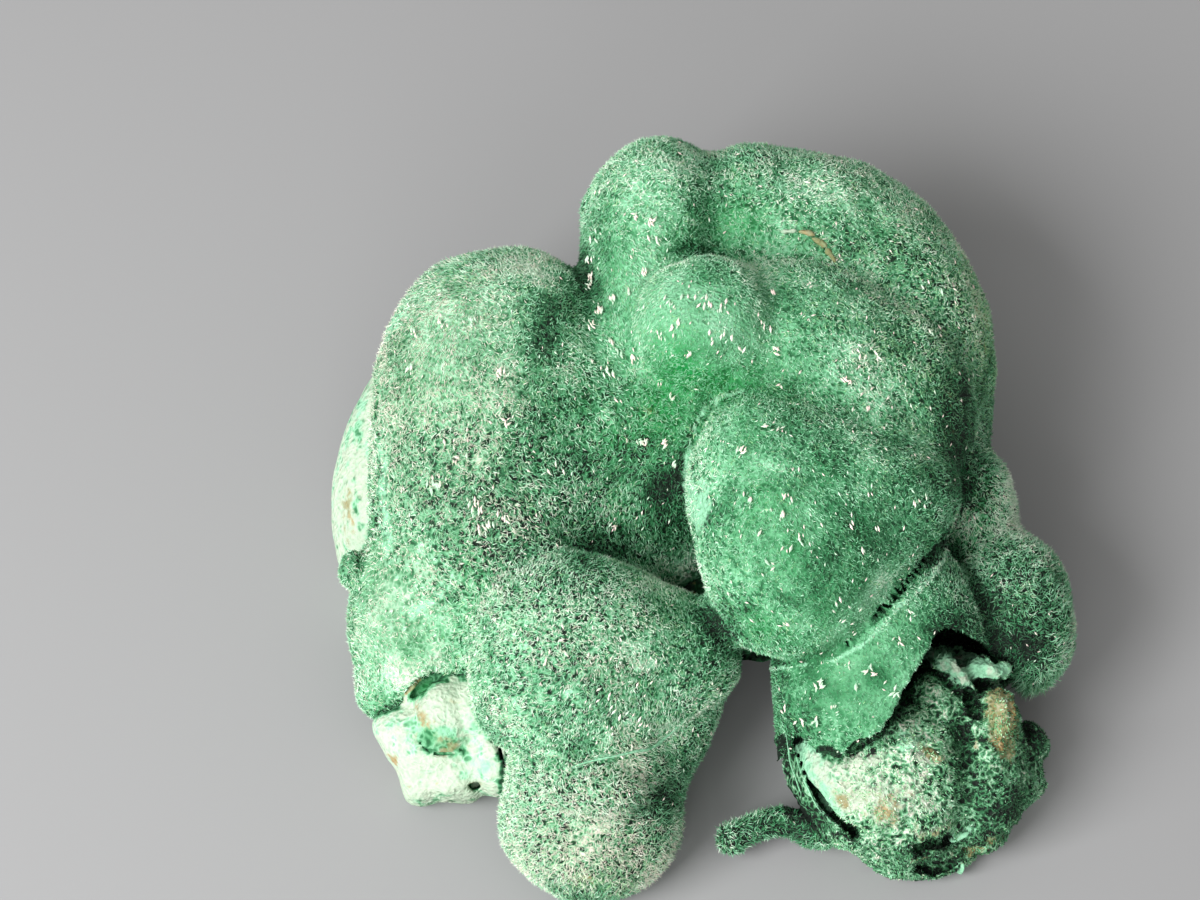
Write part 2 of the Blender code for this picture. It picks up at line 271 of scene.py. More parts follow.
def melted(a, b, reach):
    """Smaller of two fields, less a quarter of the reach times the square of a share: one
    where the fields are equal, and nothing where they differ by the reach or more."""
    if not reach:
        return np.minimum(a, b)
    share = np.maximum(reach - np.abs(a - b), 0) / reach
    return np.minimum(a, b) - share * share * reach * 0.25


def lobe(u, v, w, centre, half, turn):
    """Field of an ellipsoid: its stretched radius less one, scaled back to mm."""
    x, y, z = u - centre[0], v - centre[1], w - centre[2]
    if turn:
        c, s = cos(radians(turn)), sin(radians(turn))
        x, y = x * c + y * s, y * c - x * s
    outer = np.sqrt((x / half[0]) ** 2 + (y / half[1]) ** 2 + (z / half[2]) ** 2)
    inner = np.sqrt((x / half[0] ** 2) ** 2 + (y / half[1] ** 2) ** 2 + (z / half[2] ** 2) ** 2)
    return outer * (outer - 1) / np.maximum(inner, 1e-6)


def group(u, v, w, name):
    """Lobes of a group, melted one into the next."""
    whole = None
    for centre, half, turn, reach in LOBES[name]:
        one = lobe(u, v, w, centre, half, turn)
        whole = one if whole is None else melted(whole, one, reach)
    return whole


def outline(u, v, corners):
    """Distance to a closed outline, negative inside it: nearest of its sides, signed by
    how often a line from the point crosses them."""
    nearest, side = np.float32(1e9), np.float32(1.0)
    for (u0, v0), (u1, v1) in zip(corners, corners[-1:] + corners[:-1]):
        du, dv = u1 - u0, v1 - v0
        share = np.clip(((u - u0) * du + (v - v0) * dv) / (du * du + dv * dv), 0, 1)
        nearest = np.minimum(nearest, (u - u0 - share * du) ** 2 + (v - v0 - share * dv) ** 2)
        over, under, left = v >= v0, v < v1, du * (v - v0) > dv * (u - u0)
        side = np.where((over & under & left) | (~over & ~under & ~left), -side, side)
    return side * np.sqrt(nearest)


def broken(u, v, corners, height):
    """Outline shifted by two noises, so that its edge has jags of two sizes."""
    return outline(u, v, corners) + height * (
        noise(u, v, 0.0, 1.9) + 0.6 * noise(u, v, 0.0, 0.7))


def slot(u, v, w, cut, tops):
    """Field of a slot: the greater of the distance beside its route, less its uneven half
    width there, and the height below its floor."""
    route, depth = cut
    whole = None
    for (u0, v0, r0), (u1, v1, r1), w0, w1 in zip(route, route[1:], tops, tops[1:]):
        du, dv = u1 - u0, v1 - v0
        share = np.clip(((u - u0) * du + (v - v0) * dv) / (du * du + dv * dv + 1e-9), 0, 1)
        beside = np.sqrt((u - u0 - share * du) ** 2 + (v - v0 - share * dv) ** 2)
        half = r0 + share * (r1 - r0)
        beside = beside - half * (1 + 0.5 * noise(u, v, 0.0, 0.8))
        floor = w0 + share * (w1 - w0) - depth
        one = np.maximum(beside, (floor - w) * 0.7)
        whole = one if whole is None else np.minimum(whole, one)
    return whole


def ground(u, v, w):
    """Field of all that is above the ground: the height, taken negative."""
    return -(FACE_HEIGHT + v * sin(RECLINE) + w * cos(RECLINE))


def whole_crust(u, v, w):
    """Crust before its slots are cut: its groups melted together in order, less what the
    two broken edges ring, and less the gap between the shell and the core."""
    opening = broken(u, v, WINDOW, WINDOW_JAGS)
    inner = group(u, v, w, "core")
    whole = None
    for name, reach in CRUST.items():
        one = group(u, v, w, name)
        if name == "left":
            one = np.maximum(one, -broken(u, v, SKIRT_EDGE, SKIRT_JAGS))
        if name in ("shell", "shoulder"):
            one = np.maximum(one, -opening)
        if name == "shell":
            one = np.maximum(one, -np.maximum(inner - GAP_WIDTH, opening - GAP_REACH))
        whole = one if whole is None else melted(whole, one, reach)
    return whole


def alone(name):
    """Field of one group as a solid of its own."""
    def field(u, v, w):
        return group(u, v, w, name)
    return field


def cut_field(base, cuts):
    """Field of a solid that stands on the ground, with slots cut in it; each slot starts
    at the solid's surface."""
    ready = []
    for cut in cuts:
        across, up, _ = np.array(cut[0]).T
        ready.append((cut, tuple(face_of(base, across, up))))

    def field(u, v, w):
        whole = base(u, v, w)
        for cut, tops in ready:
            whole = np.maximum(whole, -slot(u, v, w, cut, tops))
        return np.maximum(whole, ground(u, v, w))
    return field


def face_of(field, across, up):
    """How far out the outermost surface lies at places across and up: the first change
    of sign on a line of samples inwards, found between its two samples. Beside the solid
    it is a fixed depth."""
    step, beside = 0.2, -12.0
    line = np.arange(HIGH[2], LOW[2], -step)
    values = field(np.asarray(across)[:, None], np.asarray(up)[:, None], line[None, :])
    inside = values < 0
    first = np.maximum(inside.argmax(1), 1)
    rows = np.arange(len(first))
    outer, inner = values[rows, first - 1], values[rows, first]
    found = line[first - 1] - step * outer / (outer - inner)
    return np.where(inside.any(1), found, beside)


# Solids of the stone
FIELDS = {
    "velvet_crust": cut_field(whole_crust, [CRACK, RIM_CRACK]),
    "bared_core": cut_field(alone("core"), [EDGE_GAP, SLIVER_GAP, CORE_PITS, LOW_PIT, HOLLOW]),
    "pale_matrix": cut_field(alone("matrix"), [POCKET, NODULE_EDGE, CREVICE, HOLE]),
    "broken_back": cut_field(alone("back"), []),
}


def stone(u, v, w):
    """Field of the whole stone: the smallest of its solids' fields."""
    return np.minimum.reduce([field(u, v, w) for field in FIELDS.values()])


# ---------------------------------------------------------------- surfaces

def surface_net(values, step):
    """Closed surface where a sampled field passes zero. A cell that it crosses gets one
    point, the mean of the crossings on its edges; a crossed grid line gets one quad
    between the four cells round it, turned to face outwards."""
    strides = np.array((values.shape[1] * values.shape[2], values.shape[2], 1))
    places, rings = [], []
    for axis in range(3):
        beside, beyond = strides[(axis + 1) % 3], strides[(axis + 2) % 3]
        near = values[tuple(slice(0, -1) if a == axis else slice(None) for a in range(3))]
        far = values[tuple(slice(1, None) if a == axis else slice(None) for a in range(3))]
        crossed = np.argwhere((near < 0) != (far < 0))
        start, end = near[tuple(crossed.T)], far[tuple(crossed.T)]
        place = crossed.astype(np.float64)
        place[:, axis] += start / (start - end)
        cell = crossed @ strides
        ring = np.stack((cell - beside - beyond, cell - beyond, cell, cell - beside), 1)
        ring[start > 0] = ring[start > 0, ::-1]
        places.append(np.repeat(place, 4, 0))
        rings.append(ring)
    rings, places = np.concatenate(rings), np.concatenate(places)
    _, index = np.unique(rings, return_inverse=True)
    index = index.reshape(rings.shape)
    count = np.bincount(index.ravel())
    points = np.stack([np.bincount(index.ravel(), places[:, a]) / count for a in range(3)], 1)
    return np.array(LOW) + points * step, index


def sampled(field, step):
    """Values of a field on a grid of that step, over the space that holds the stone."""
    axes = [np.arange(low, high + step, step, dtype=np.float32)
            for low, high in zip(LOW, HIGH)]
    return field(*np.meshgrid(*axes, indexing="ij", sparse=True))


def outwards(field, points, reach):
    """Direction in which a field grows, and how fast, from its change along each axis."""
    change = np.stack([
        field(*(points + side).T) - field(*(points - side).T) for side in np.eye(3) * reach
    ], 1) / (2 * reach)
    speed = np.linalg.norm(change, axis=1, keepdims=True)
    return change / np.maximum(speed, 1e-6), speed[:, 0]


def settled(field, points, step):
    """Points moved onto the zero of a field along its slope, in two moves of up to half a
    step each."""
    for _ in range(2):
        way, speed = outwards(field, points, 0.1)
        move = np.clip(field(*points.T) / np.maximum(speed, 0.3), -step / 2, step / 2)
        points = points - way * move[:, None]
    return points


def to_world(points):
    """Growth frame in mm to the world in metres: tipped back, lifted and centred."""
    u, v, w = points.T
    return MM * np.stack((
        u - CENTRE[0],
        v * cos(RECLINE) - w * sin(RECLINE) - CENTRE[1],
        v * sin(RECLINE) + w * cos(RECLINE) + FACE_HEIGHT,
    ), 1)


def new_mesh(name, points, faces, smooth=True):
    """Mesh of points in the growth frame. The crown is pressed down by the square of its
    height, and no point is left below the ground."""
    world = to_world(points)
    crown = np.maximum(world[:, 2] / MM - CROWN, 0.0)
    world[:, 2] = np.maximum(world[:, 2] - MM * PRESS * crown ** 2, 0.0)
    mesh = bpy.data.meshes.new(name)
    mesh.vertices.add(len(world))
    mesh.vertices.foreach_set("co", world.ravel())
    mesh.loops.add(faces.size)
    mesh.loops.foreach_set("vertex_index", faces.ravel().astype(np.int32))
    mesh.polygons.add(len(faces))
    mesh.polygons.foreach_set("loop_start", np.arange(0, faces.size, faces.shape[1]))
    mesh.polygons.foreach_set("use_smooth", np.full(len(faces), smooth))
    mesh.update(calc_edges=True)
    return mesh


def put_values(mesh, **columns):
    """Values at the points of a mesh, each column a number for all or one for each."""
    for name, values in columns.items():
        column = mesh.attributes.new(name, "FLOAT", "POINT")
        column.data.foreach_set("value", np.full(len(mesh.vertices), values, np.float32))


def finished(name, mesh, material):
    """A finished piece of the stone: it rides on the stone and stands for its solid."""
    mesh.materials.append(material)
    piece = bpy.data.objects.new(name, mesh)
    bpy.context.scene.collection.objects.link(piece)
    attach(piece, BODY)
    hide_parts(NODE)


# ---------------------------------------------------------------- tone of the surface

# Soft patches on the face: across, up, half sizes, turn in degrees, strength
PATCHES = {
    # tone: partly the velvet's own paler and darker patches, partly painted shade on flanks turned
    # from the light and in hollows, and painted light on flanks lightened as if lit
    "tone": [
        (-30.2, 20.0, 1.6, 4.4, -32, 0.08), (-22.0, 25.0, 8.0, 2.4, 0, 0.06),
        (-26.0, 14.0, 7.0, 9.0, 0, 0.06), (-31.4, 6.0, 1.2, 8.0, 0, 0.08),
        (-29.5, -9.0, 6.5, 9.0, 0, 0.12), (-10.0, -34.0, 8.0, 4.0, 0, 0.12),
        (-5.0, 30.5, 5.0, 5.0, 0, 0.06), (13.0, 32.0, 12.0, 3.0, -8, 0.08),
        (-18.0, -8.0, 4.0, 3.0, 20, 0.12), (0.6, 1.0, 3.0, 7.0, 0, 0.08),
        (-14.0, -13.0, 8.0, 6.0, 0, 0.08), (-11.0, -27.0, 8.0, 4.0, 0, 0.06),
        (0.0, 20.0, 6.0, 5.0, 0, 0.08),
        (0.5, 30.0, 2.0, 5.0, 0, -0.20), (-1.5, 0.0, 3.0, 7.0, 0, -0.14),
        (-10.0, -2.6, 5.0, 2.0, 0, -0.12), (-11.0, 4.0, 8.0, 6.0, 0, -0.06),
        (-14.4, 20.0, 1.8, 6.0, 0, -0.16), (26.5, 7.0, 3.4, 6.0, 0, -0.38),
        (-25.0, 21.0, 4.5, 3.5, -20, 0.14), (-26.5, -15.6, 4.5, 2.2, 0, 0.20),
        (-11.5, -31.5, 6.0, 3.0, 0, 0.10), (6.0, 34.0, 12.0, 3.0, -6, 0.06),
        (14.5, 15.0, 5.0, 6.0, 0, 0.10),
        (-4.5, -5.0, 4.0, 2.0, -20, 0.14), (-4.0, -13.0, 6.0, 5.0, -30, 0.10),
        (-2.4, 2.6, 1.6, 3.0, 0, -0.18), (20.6, -0.8, 2.6, 2.0, -45, -0.14),
        (31.0, 0.5, 2.5, 4.0, 0, 0.10), (-17.0, -26.0, 2.0, 3.0, 0, 0.08),
        (23.0, 4.0, 5.0, 1.5, -20, -0.25), (27.5, 17.0, 3.0, 8.0, 0, -0.20),
        (31.5, -10.0, 6.0, 8.0, 0, -0.24), (13.0, -20.0, 6.0, 4.0, 0, -0.08),
        (12.5, -2.5, 5.0, 5.0, 0, -0.22), (0.0, -24.0, 3.5, 6.0, -25, -0.18),
        (-3.5, -27.0, 3.0, 2.0, 30, -0.20), (2.0, -12.0, 3.5, 4.0, 0, -0.14),
        (8.5, -26.0, 1.5, 8.0, 10, -0.25), (6.0, -31.0, 8.0, 3.0, 0, -0.30),
        (-19.0, 24.5, 5.0, 3.0, 0, 0.14), (-10.6, 24.0, 2.2, 5.0, 0, -0.16),
        (-16.0, 19.0, 2.0, 4.0, 0, -0.14), (-13.0, 14.5, 1.5, 1.5, 0, 0.16),
        (-30.5, 10.0, 2.0, 3.0, 0, 0.14), (-22.0, 9.0, 2.5, 4.0, 0, 0.10),
        (-1.2, 9.8, 1.6, 2.2, 0, 0.28), (9.0, 7.0, 4.0, 2.0, 0, -0.14),
        (20.5, 17.5, 2.0, 2.0, 0, -0.16), (17.0, 11.5, 2.0, 2.0, 0, 0.12),
        (-4.2, 2.0, 1.6, 4.0, 0, -0.20), (-11.5, -3.6, 2.6, 1.6, 0, -0.16),
        (-2.5, -5.0, 2.4, 2.4, 0, 0.20), (17.2, -6.2, 2.0, 1.6, 45, 0.22),
        (18.6, -2.2, 2.0, 1.6, 0, -0.16), (23.4, -10.6, 2.4, 2.4, 0, -0.45),
        (-3.6, 29.5, 2.2, 4.0, 0, 0.04), (1.4, 28.4, 2.2, 2.4, 0, 0.16),
        (4.8, 25.4, 2.4, 2.6, 0, 0.14), (-24.5, 25.0, 2.5, 3.0, 0, -0.18),
        (-15.8, 25.0, 1.6, 2.6, 0, 0.20), (-18.8, 15.0, 1.6, 4.0, 0, 0.16),
        (-21.8, 5.6, 1.4, 1.2, 0, 0.20), (-16.0, 5.6, 1.4, 1.2, 0, -0.14),
        (27.5, 10.0, 1.2, 3.6, 0, 0.16), (24.6, 10.5, 1.4, 3.0, 0, -0.14),
        (-4.3, 2.8, 1.4, 1.4, 0, -0.20), (-9.0, 1.5, 2.2, 2.0, 0, 0.16),
        (4.6, 5.4, 3.4, 1.2, 0, 0.16), (-1.3, -6.8, 1.4, 2.2, 0, 0.26),
        (17.0, -15.2, 2.0, 1.8, 0, -0.22), (12.6, -20.4, 1.8, 1.2, 0, 0.15),
        (12.6, -16.6, 4.0, 4.0, 0, -0.08), (-4.4, -26.8, 3.4, 0.9, 38, -0.22),
        (0.4, 18.6, 4.0, 3.0, 0, -0.06), (2.6, 24.6, 3.0, 2.2, 0, -0.10),
        (31.0, -11.8, 2.2, 1.2, 0, -0.25), (-7.1, -23.4, 1.6, 1.2, 0, 0.20),
        (-4.2, -20.5, 1.2, 1.2, 0, 0.16), (-10.0, -29.2, 1.8, 1.2, 0, 0.14),
        (-28.6, -12.4, 2.0, 2.0, 0, -0.26), (19.4, -3.0, 1.2, 1.6, 0, 0.18),
        (-7.5, 21.6, 4.0, 3.0, 0, -0.08), (-20.5, 23.0, 3.0, 2.2, 0, 0.06),
        (-15.8, 17.4, 1.6, 1.6, 0, -0.24), (8.0, 20.4, 2.0, 1.8, 0, -0.10),
        (11.0, 5.4, 2.6, 2.0, 0, -0.18), (1.6, 0.0, 1.6, 3.0, 0, -0.12),
        (2.0, -9.4, 2.0, 2.0, 0, -0.20), (7.5, -6.6, 4.0, 2.2, 0, -0.14),
        (11.5, -12.4, 3.4, 1.8, 15, -0.16), (-10.0, -12.4, 5.4, 2.6, 0, 0.15),
        (-18.0, -18.6, 2.4, 2.0, 0, 0.14), (-7.0, -27.6, 2.0, 1.6, 0, -0.16),
        (-11.5, -30.6, 3.0, 2.0, 0, 0.12), (26.0, -0.6, 1.6, 1.6, 0, 0.2),
        (29.5, 1.5, 2.4, 3.6, 0, 0.24), (25.8, 24.0, 3.0, 6.0, 0, 0.12),
        (27.8, 19.0, 2.0, 4.0, 0, 0.16), (-12.0, -26.0, 7.0, 5.0, 0, 0.12),
        (-12.0, -30.0, 5.0, 3.0, 0, 0.08), (-10.5, -36.8, 6.0, 1.4, 0, -0.30),
        (-7.0, -24.0, 2.0, 2.0, 0, 0.12), (31.5, -12.5, 3.0, 2.4, 0, -0.22),
        (-29.0, -14.0, 4.0, 3.0, 0, 0.14), (-26.0, -12.0, 3.0, 2.4, 0, 0.14),
    ],
    "mint": [
        (0.0, 2.2, 1.1, 2.9, 8, 1.0), (-5.5, -13.4, 1.3, 0.9, 20, 0.9),
        (-13.2, -16.0, 1.0, 0.7, 0, 0.8), (-15.0, -22.2, 0.8, 0.6, 0, 0.7),
        (-30.4, 20.2, 1.1, 3.8, -34, 0.8), (-31.5, 4.0, 0.9, 7.0, 2, 0.7),
        (-30.0, -4.0, 3.0, 3.5, 0, 0.5), (-27.5, -8.4, 3.6, 0.9, 38, 0.8),
        (8.3, 28.7, 0.7, 0.5, 0, 0.9), (-26.0, -16.0, 1.6, 1.2, 0, 0.5),
    ],
    "vivid": [
        (-3.5, 11.0, 3.2, 3.6, 0, 1.3), (3.5, 29.8, 2.8, 2.0, 0, 0.9),
        (0.5, 13.8, 4.0, 1.6, -20, 0.7), (4.0, 13.4, 6.0, 1.8, -10, 0.7),
        (-2.5, 17.0, 3.0, 4.0, 0, 0.4), (-5.0, 27.0, 5.0, 9.0, 0, 0.3),
        (7.0, 30.0, 7.0, 4.0, 0, 0.3), (6.0, 18.0, 6.0, 5.0, 0, 0.3),
        (8.0, 0.0, 8.0, 9.0, 0, 0.25), (14.0, -16.0, 7.0, 7.0, 0, 0.2),
        (7.0, -11.0, 4.0, 2.0, -30, 0.5), (-9.0, 8.0, 5.0, 6.0, 0, 0.4),
        (29.0, 1.0, 3.0, 3.0, 0, 0.3), (-28.0, -12.0, 4.0, 4.0, 0, 0.3),
    ],
    "earth": [
        (12.0, 27.6, 1.5, 0.5, -38, 0.9),
        (28.6, 20.0, 1.8, 9.0, 8, 0.5), (18.5, 16.8, 2.6, 1.4, 0, 0.42),
        (25.0, 16.0, 5.0, 8.0, 0, 0.28), (19.0, 26.0, 7.0, 4.0, -30, 0.22),
        (23.0, 10.0, 4.0, 5.0, 0, 0.25), (-10.0, -34.0, 6.0, 2.0, 0, 0.25),
        (14.0, 20.5, 5.0, 2.0, -10, 0.25), (-5.3, 10.8, 0.4, 0.4, 0, 1.3),
        (10.6, 7.2, 0.35, 0.3, 0, 1.1), (-11.5, -34.6, 1.6, 0.8, 0, 0.5),
    ],
    # velvet worn bare of needles
    "bare": [
        (0.1, 1.6, 1.0, 3.2, 4, 1.0), (-0.8, -3.2, 0.5, 3.0, 0, 0.7),
        (0.2, 8.8, 0.5, 2.0, 30, 0.5), (-30.6, 20.2, 1.1, 3.8, -34, 0.8),
        (-31.4, 4.0, 0.8, 7.0, 2, 0.8), (-30.0, -5.0, 2.4, 4.0, 0, 0.6),
        (-28.0, -12.0, 5.0, 5.0, 0, 0.45),
    ],
    # pitted crust of the skirt
    "pitted": [(-29.0, -10.0, 8.0, 9.0, 0, 1.0)],
    # greyed velvet
    "ash": [
        (-24.0, 13.0, 8.0, 10.0, 0, 0.8), (-20.0, 0.0, 5.0, 5.0, 0, 0.4),
        (-11.0, -13.0, 7.0, 6.0, 0, 0.2), (-10.0, -30.0, 9.0, 7.0, 0, 0.7),
        (18.0, 30.0, 8.0, 3.0, -20, 0.3), (-30.5, 9.0, 2.5, 12.0, -4, 0.6),
        (20.0, 20.0, 5.0, 5.0, 0, 0.3), (-10.0, -33.0, 8.0, 3.0, 0, 0.6),
        (-30.0, -9.0, 5.0, 7.0, 0, 0.8), (0.0, 19.0, 9.0, 8.0, 0, -0.5),
        (-9.0, 6.0, 6.0, 6.0, 0, -0.4), (-14.0, -3.0, 5.0, 3.0, 0, -0.3),
        (-5.0, 27.0, 5.0, 9.0, 0, -0.4), (7.0, 30.0, 6.0, 4.0, 0, -0.4),
        (8.0, 0.0, 9.0, 10.0, 0, -0.4), (15.0, -15.0, 8.0, 8.0, 0, -0.3),
    ],
    # how much more or less the velvet breaks up into dashes
    "grit": [
        (8.0, -1.0, 9.0, 10.0, 0, -0.6), (18.0, -14.0, 8.0, 9.0, 0, -0.6),
        (-6.0, 25.0, 6.0, 12.0, 0, -0.5), (-30.0, -9.0, 6.0, 7.0, 0, -0.5),
        (-24.0, 20.0, 9.0, 7.0, 0, -0.4), (13.0, 31.0, 12.0, 4.0, 0, -0.3),
        (5.0, 18.0, 10.0, 7.0, 0, -0.45), (-14.0, 1.0, 10.0, 7.0, 0, 0.3),
        (32.0, -8.0, 6.0, 9.0, 0, 0.6), (-9.0, -31.0, 8.0, 5.0, 0, 0.6),
        (30.0, 3.0, 4.0, 4.0, 0, 0.7), (6.0, -30.5, 6.0, 2.0, 0, 0.7),
        (-1.0, 20.0, 6.0, 6.0, 0, -0.3), (12.5, -16.0, 5.0, 5.0, 0, -0.3),
        (-20.0, -3.0, 6.0, 6.0, 0, 0.3), (18.0, 8.0, 6.0, 6.0, 0, -0.2),
        (-13.0, -10.0, 7.0, 5.0, 0, 0.35), (-10.0, -26.0, 6.0, 3.0, 0, 0.5),
    ],
}
# Pale lines on the velvet: route across and up, half width and strength
LINES = [
    ([(3.8, 12.6), (1.8, 12.2), (0.2, 11.0), (-1.0, 8.6), (-1.6, 4.5), (-0.9, 0.5)], 0.4, 0.9),
    ([(-0.9, 0.5), (-0.4, -4.0), (-0.1, -6.0), (2.2, -10.0), (5.0, -13.6), (6.4, -14.6)],
     0.35, 0.5),
    ([(6.0, -14.6), (12.5, -13.2), (15.6, -11.4), (18.9, -7.8), (21.6, -5.8), (24.9, -2.0),
      (27.4, 0.6)], 0.24, 0.9),
    ([(4.5, -14.8), (0.0, -18.0), (-4.5, -21.5), (-10.0, -22.5), (-15.0, -24.2),
      (-16.5, -24.8)], 0.35, 0.6),
    ([(-6.0, 20.6), (-5.2, 23.4), (-1.2, 26.0), (5.0, 27.0)], 0.7, 0.35),
]
RAISED_LINES = LINES[2:4]
# Shift of each tint's mottles in mm, which sets them apart, and how strong they are
MOTTLES = {"vivid": (11.0, 0.5), "ash": (47.0, 0.5), "earth": (83.0, 0.12)}


def soft_patches(points, patches):
    """Sum of soft patches: each falls off as a bell with the squares of the distances
    along its two axes, in half sizes."""
    total = np.zeros(len(points))
    for across, up, half_across, half_up, turn, strength in patches:
        c, s = cos(radians(turn)), sin(radians(turn))
        x, y = points[:, 0] - across, points[:, 1] - up
        far = ((x * c + y * s) / half_across) ** 2 + ((y * c - x * s) / half_up) ** 2
        total += strength * np.exp(-0.9 * far)
    return total


def pale_lines(points, lines):
    """Sum of lines: each falls off as a bell with the distance to its route, in half
    widths, and is stronger and weaker by a noise."""
    total = np.zeros(len(points))
    for route, half, strength in lines:
        nearest = np.full(len(points), 1e9)
        for (u0, v0), (u1, v1) in zip(route, route[1:]):
            du, dv = u1 - u0, v1 - v0
            x, y = points[:, 0] - u0, points[:, 1] - v0
            share = np.clip((x * du + y * dv) / (du * du + dv * dv), 0, 1)
            nearest = np.minimum(nearest, (x - share * du) ** 2 + (y - share * dv) ** 2)
        total += strength * np.exp(-nearest / half ** 2) * (1 + 0.5 * noise(*points.T, 2.0))
    return total


def openness(points, normals):
    """Share of free space over the surface: the stone's field a little way out, against
    that way, as the mean of three distances."""
    total = 0.0
    for reach in (0.8, 1.8, 3.6):
        total = total + np.clip(stone(*(points + normals * reach).T) / reach, 0, 1)
    return total / 3


def stepped(x, low, high):
    """Share of the way from low to high, eased: three squares of it less two cubes."""
    share = np.clip((x - low) / (high - low), 0, 1)
    return share * share * (3 - 2 * share)


# ---------------------------------------------------------------- settings

def shade(red, green, blue):
    """Screen colour, 0 to 255, as the linear colour that shaders take: a power of 2.4,
    and a straight line near black."""
    return tuple(((c / 255 + 0.055) / 1.055) ** 2.4 if c > 10 else c / 3295
                 for c in (red, green, blue)) + (1.0,)


def colour(label, description, rgb):
    """Setting that holds a colour, given as a screen colour."""
    return FloatVectorProperty(
        name=label, description=description, default=shade(*rgb), size=4, min=0.0, max=1.0,
        subtype="COLOR")


class MalachiteGrain(bpy.types.PropertyGroup):
    """How fine the surfaces are worked out."""
    crust: FloatProperty(
        name="Crust", description="Grid step of the crust, in mm", default=0.46, min=0.3, max=2.0)
    core: FloatProperty(
        name="Core", description="Grid step of the bared nodule, in mm", default=0.3, min=0.2,
        max=2.0)
    matrix: FloatProperty(
        name="Matrix", description="Grid step of the pale matrix, in mm", default=0.36, min=0.2,
        max=2.0)
    back: FloatProperty(
        name="Back", description="Grid step of the broken back, in mm", default=0.75, min=0.3,
        max=2.0)


class MalachiteFelt(bpy.types.PropertyGroup):
    """The velvet: a felt of small needles."""
    count: IntProperty(
        name="Needles", description="Number of needles in all", default=150000, min=100, max=200000)
    length: FloatProperty(
        name="Length", description="Mean length of a needle, in mm", default=0.36, min=0.1, max=3.0)
    width: FloatProperty(
        name="Width", description="Width of a needle at its foot, in mm", default=0.14, min=0.02,
        max=1.0)
    lean: FloatProperty(
        name="Lean", description="How far needles lean over, against how far they stand up",
        default=2.2, min=0.0, max=4.0)
    core_count: IntProperty(
        name="Core grains", description="Number of grains on the bared nodule", default=18000,
        min=100, max=40000)
    core_length: FloatProperty(
        name="Grain length", description="Mean length of a core grain, in mm", default=0.22,
        min=0.1, max=3.0)
    core_width: FloatProperty(
        name="Grain width", description="Width of a core grain at its foot, in mm", default=0.2,
        min=0.02, max=1.0)
    flecks: IntProperty(
        name="Lone flecks", description="Number of bright flecks apart from the tufts",
        default=800, min=0, max=5000)


class MalachiteColours(bpy.types.PropertyGroup):
    """Colours of the stone, from its deepest green to its palest."""
    shadow: colour("Shadow green", "Green in the gaps of the felt", (7, 24, 14))
    deep: colour("Deep green", "Shaded velvet", (24, 66, 40))
    middle: colour("Middle green", "Body colour of the velvet", (54, 122, 79))
    light: colour("Light green", "Velvet in the light", (106, 172, 128))
    mint: colour("Mint", "Pale needles and bared edges", (148, 208, 170))
    pale: colour("Pale mint", "Tips of the needles", (196, 228, 200))
    white: colour("White", "Fresh tufts", (232, 240, 226))
    vivid: colour("Vivid green", "Saturated patches", (30, 150, 84))
    blush: colour("Blush", "Tints greyed velvet", (252, 230, 232))
    earth: colour("Earth", "Brown and tan stains", (140, 132, 88))
    rust: colour("Rust", "Iron stains", (168, 134, 84))
    chalk: colour("Chalk", "Pale matrix", (184, 196, 175))
    rose: colour("Rose white", "Brightest flecks", (250, 228, 220))


class MalachiteStage(bpy.types.PropertyGroup):
    """Floor, lights and camera."""
    floor: colour("Floor", "Plain pale floor", (150, 150, 151))
    key: FloatProperty(name="Key light", description="Power of the key light", default=4.3,
                       min=0.0, unit="POWER")
    fill: FloatProperty(name="Fill", description="Strength of the light all round",
                        default=0.5, min=0.0)
    distance: FloatProperty(name="Camera distance", description="From the camera to the face",
                            default=0.35, min=0.1, unit="LENGTH")
    view_width: FloatProperty(name="Width in view", description="Width seen at the face",
                              default=0.12, min=0.01, unit="LENGTH")


# ---------------------------------------------------------------- materials

def put(tree, kind, sockets, **settings):
    """New node with its settings and sockets; a socket takes a number or another's output."""
    node = tree.nodes.new("ShaderNode" + kind)
    for name, value in settings.items():
        setattr(node, name, value)
    for socket, value in sockets.items():
        if isinstance(value, bpy.types.NodeSocket):
            tree.links.new(value, node.inputs[socket])
        else:
            node.inputs[socket].default_value = value
    return node


def sums(tree, operation, a, b, clamp=False):
    """Output of one sum on two numbers, kept between 0 and 1 if clamped."""
    return put(tree, "Math", {0: a, 1: b}, operation=operation, use_clamp=clamp).outputs[0]


def eased(tree, value, low, high):
    """Value from 0 at low to 1 at high, eased at both ends."""
    node = put(tree, "MapRange", {"Value": value, "From Min": low, "From Max": high},
               interpolation_type="SMOOTHSTEP")
    return node.outputs["Result"]


def mixed(tree, share, a, b, how="MIX"):
    """Colour a with a share of b laid over it."""
    node = tree.nodes.new("ShaderNodeMix")
    node.data_type = "RGBA"
    node.blend_type = how
    for socket, value in ((node.inputs[0], share), (node.inputs[6], a), (node.inputs[7], b)):
        if isinstance(value, bpy.types.NodeSocket):
            tree.links.new(value, socket)
        else:
            socket.default_value = value
    return node.outputs[2]


def greens(tree, tone, colours):
    """Colour at a tone on a ramp from the deepest green to white."""
    stops = (
        (0.0, colours.shadow), (0.2, colours.deep), (0.4, colours.middle),
        (0.58, colours.light), (0.74, colours.mint), (0.88, colours.pale), (1.0, colours.white),
    )
    node = put(tree, "ValToRGB", {0: tone})
    ramp = node.color_ramp
    while len(ramp.elements) < len(stops):
        ramp.elements.new(0.5)
    for element, (place, rgb) in zip(ramp.elements, stops):
        element.position = place
        element.color = rgb
    return node.outputs["Color"]


def new_material(name):
    """Material with its node tree and its shader, not metallic."""
    material = bpy.data.materials.new(name)
    material.use_nodes = True
    tree = material.node_tree
    shader = tree.nodes["Principled BSDF"]
    shader.inputs["Metallic"].default_value = 0.0
    return material, tree, shader


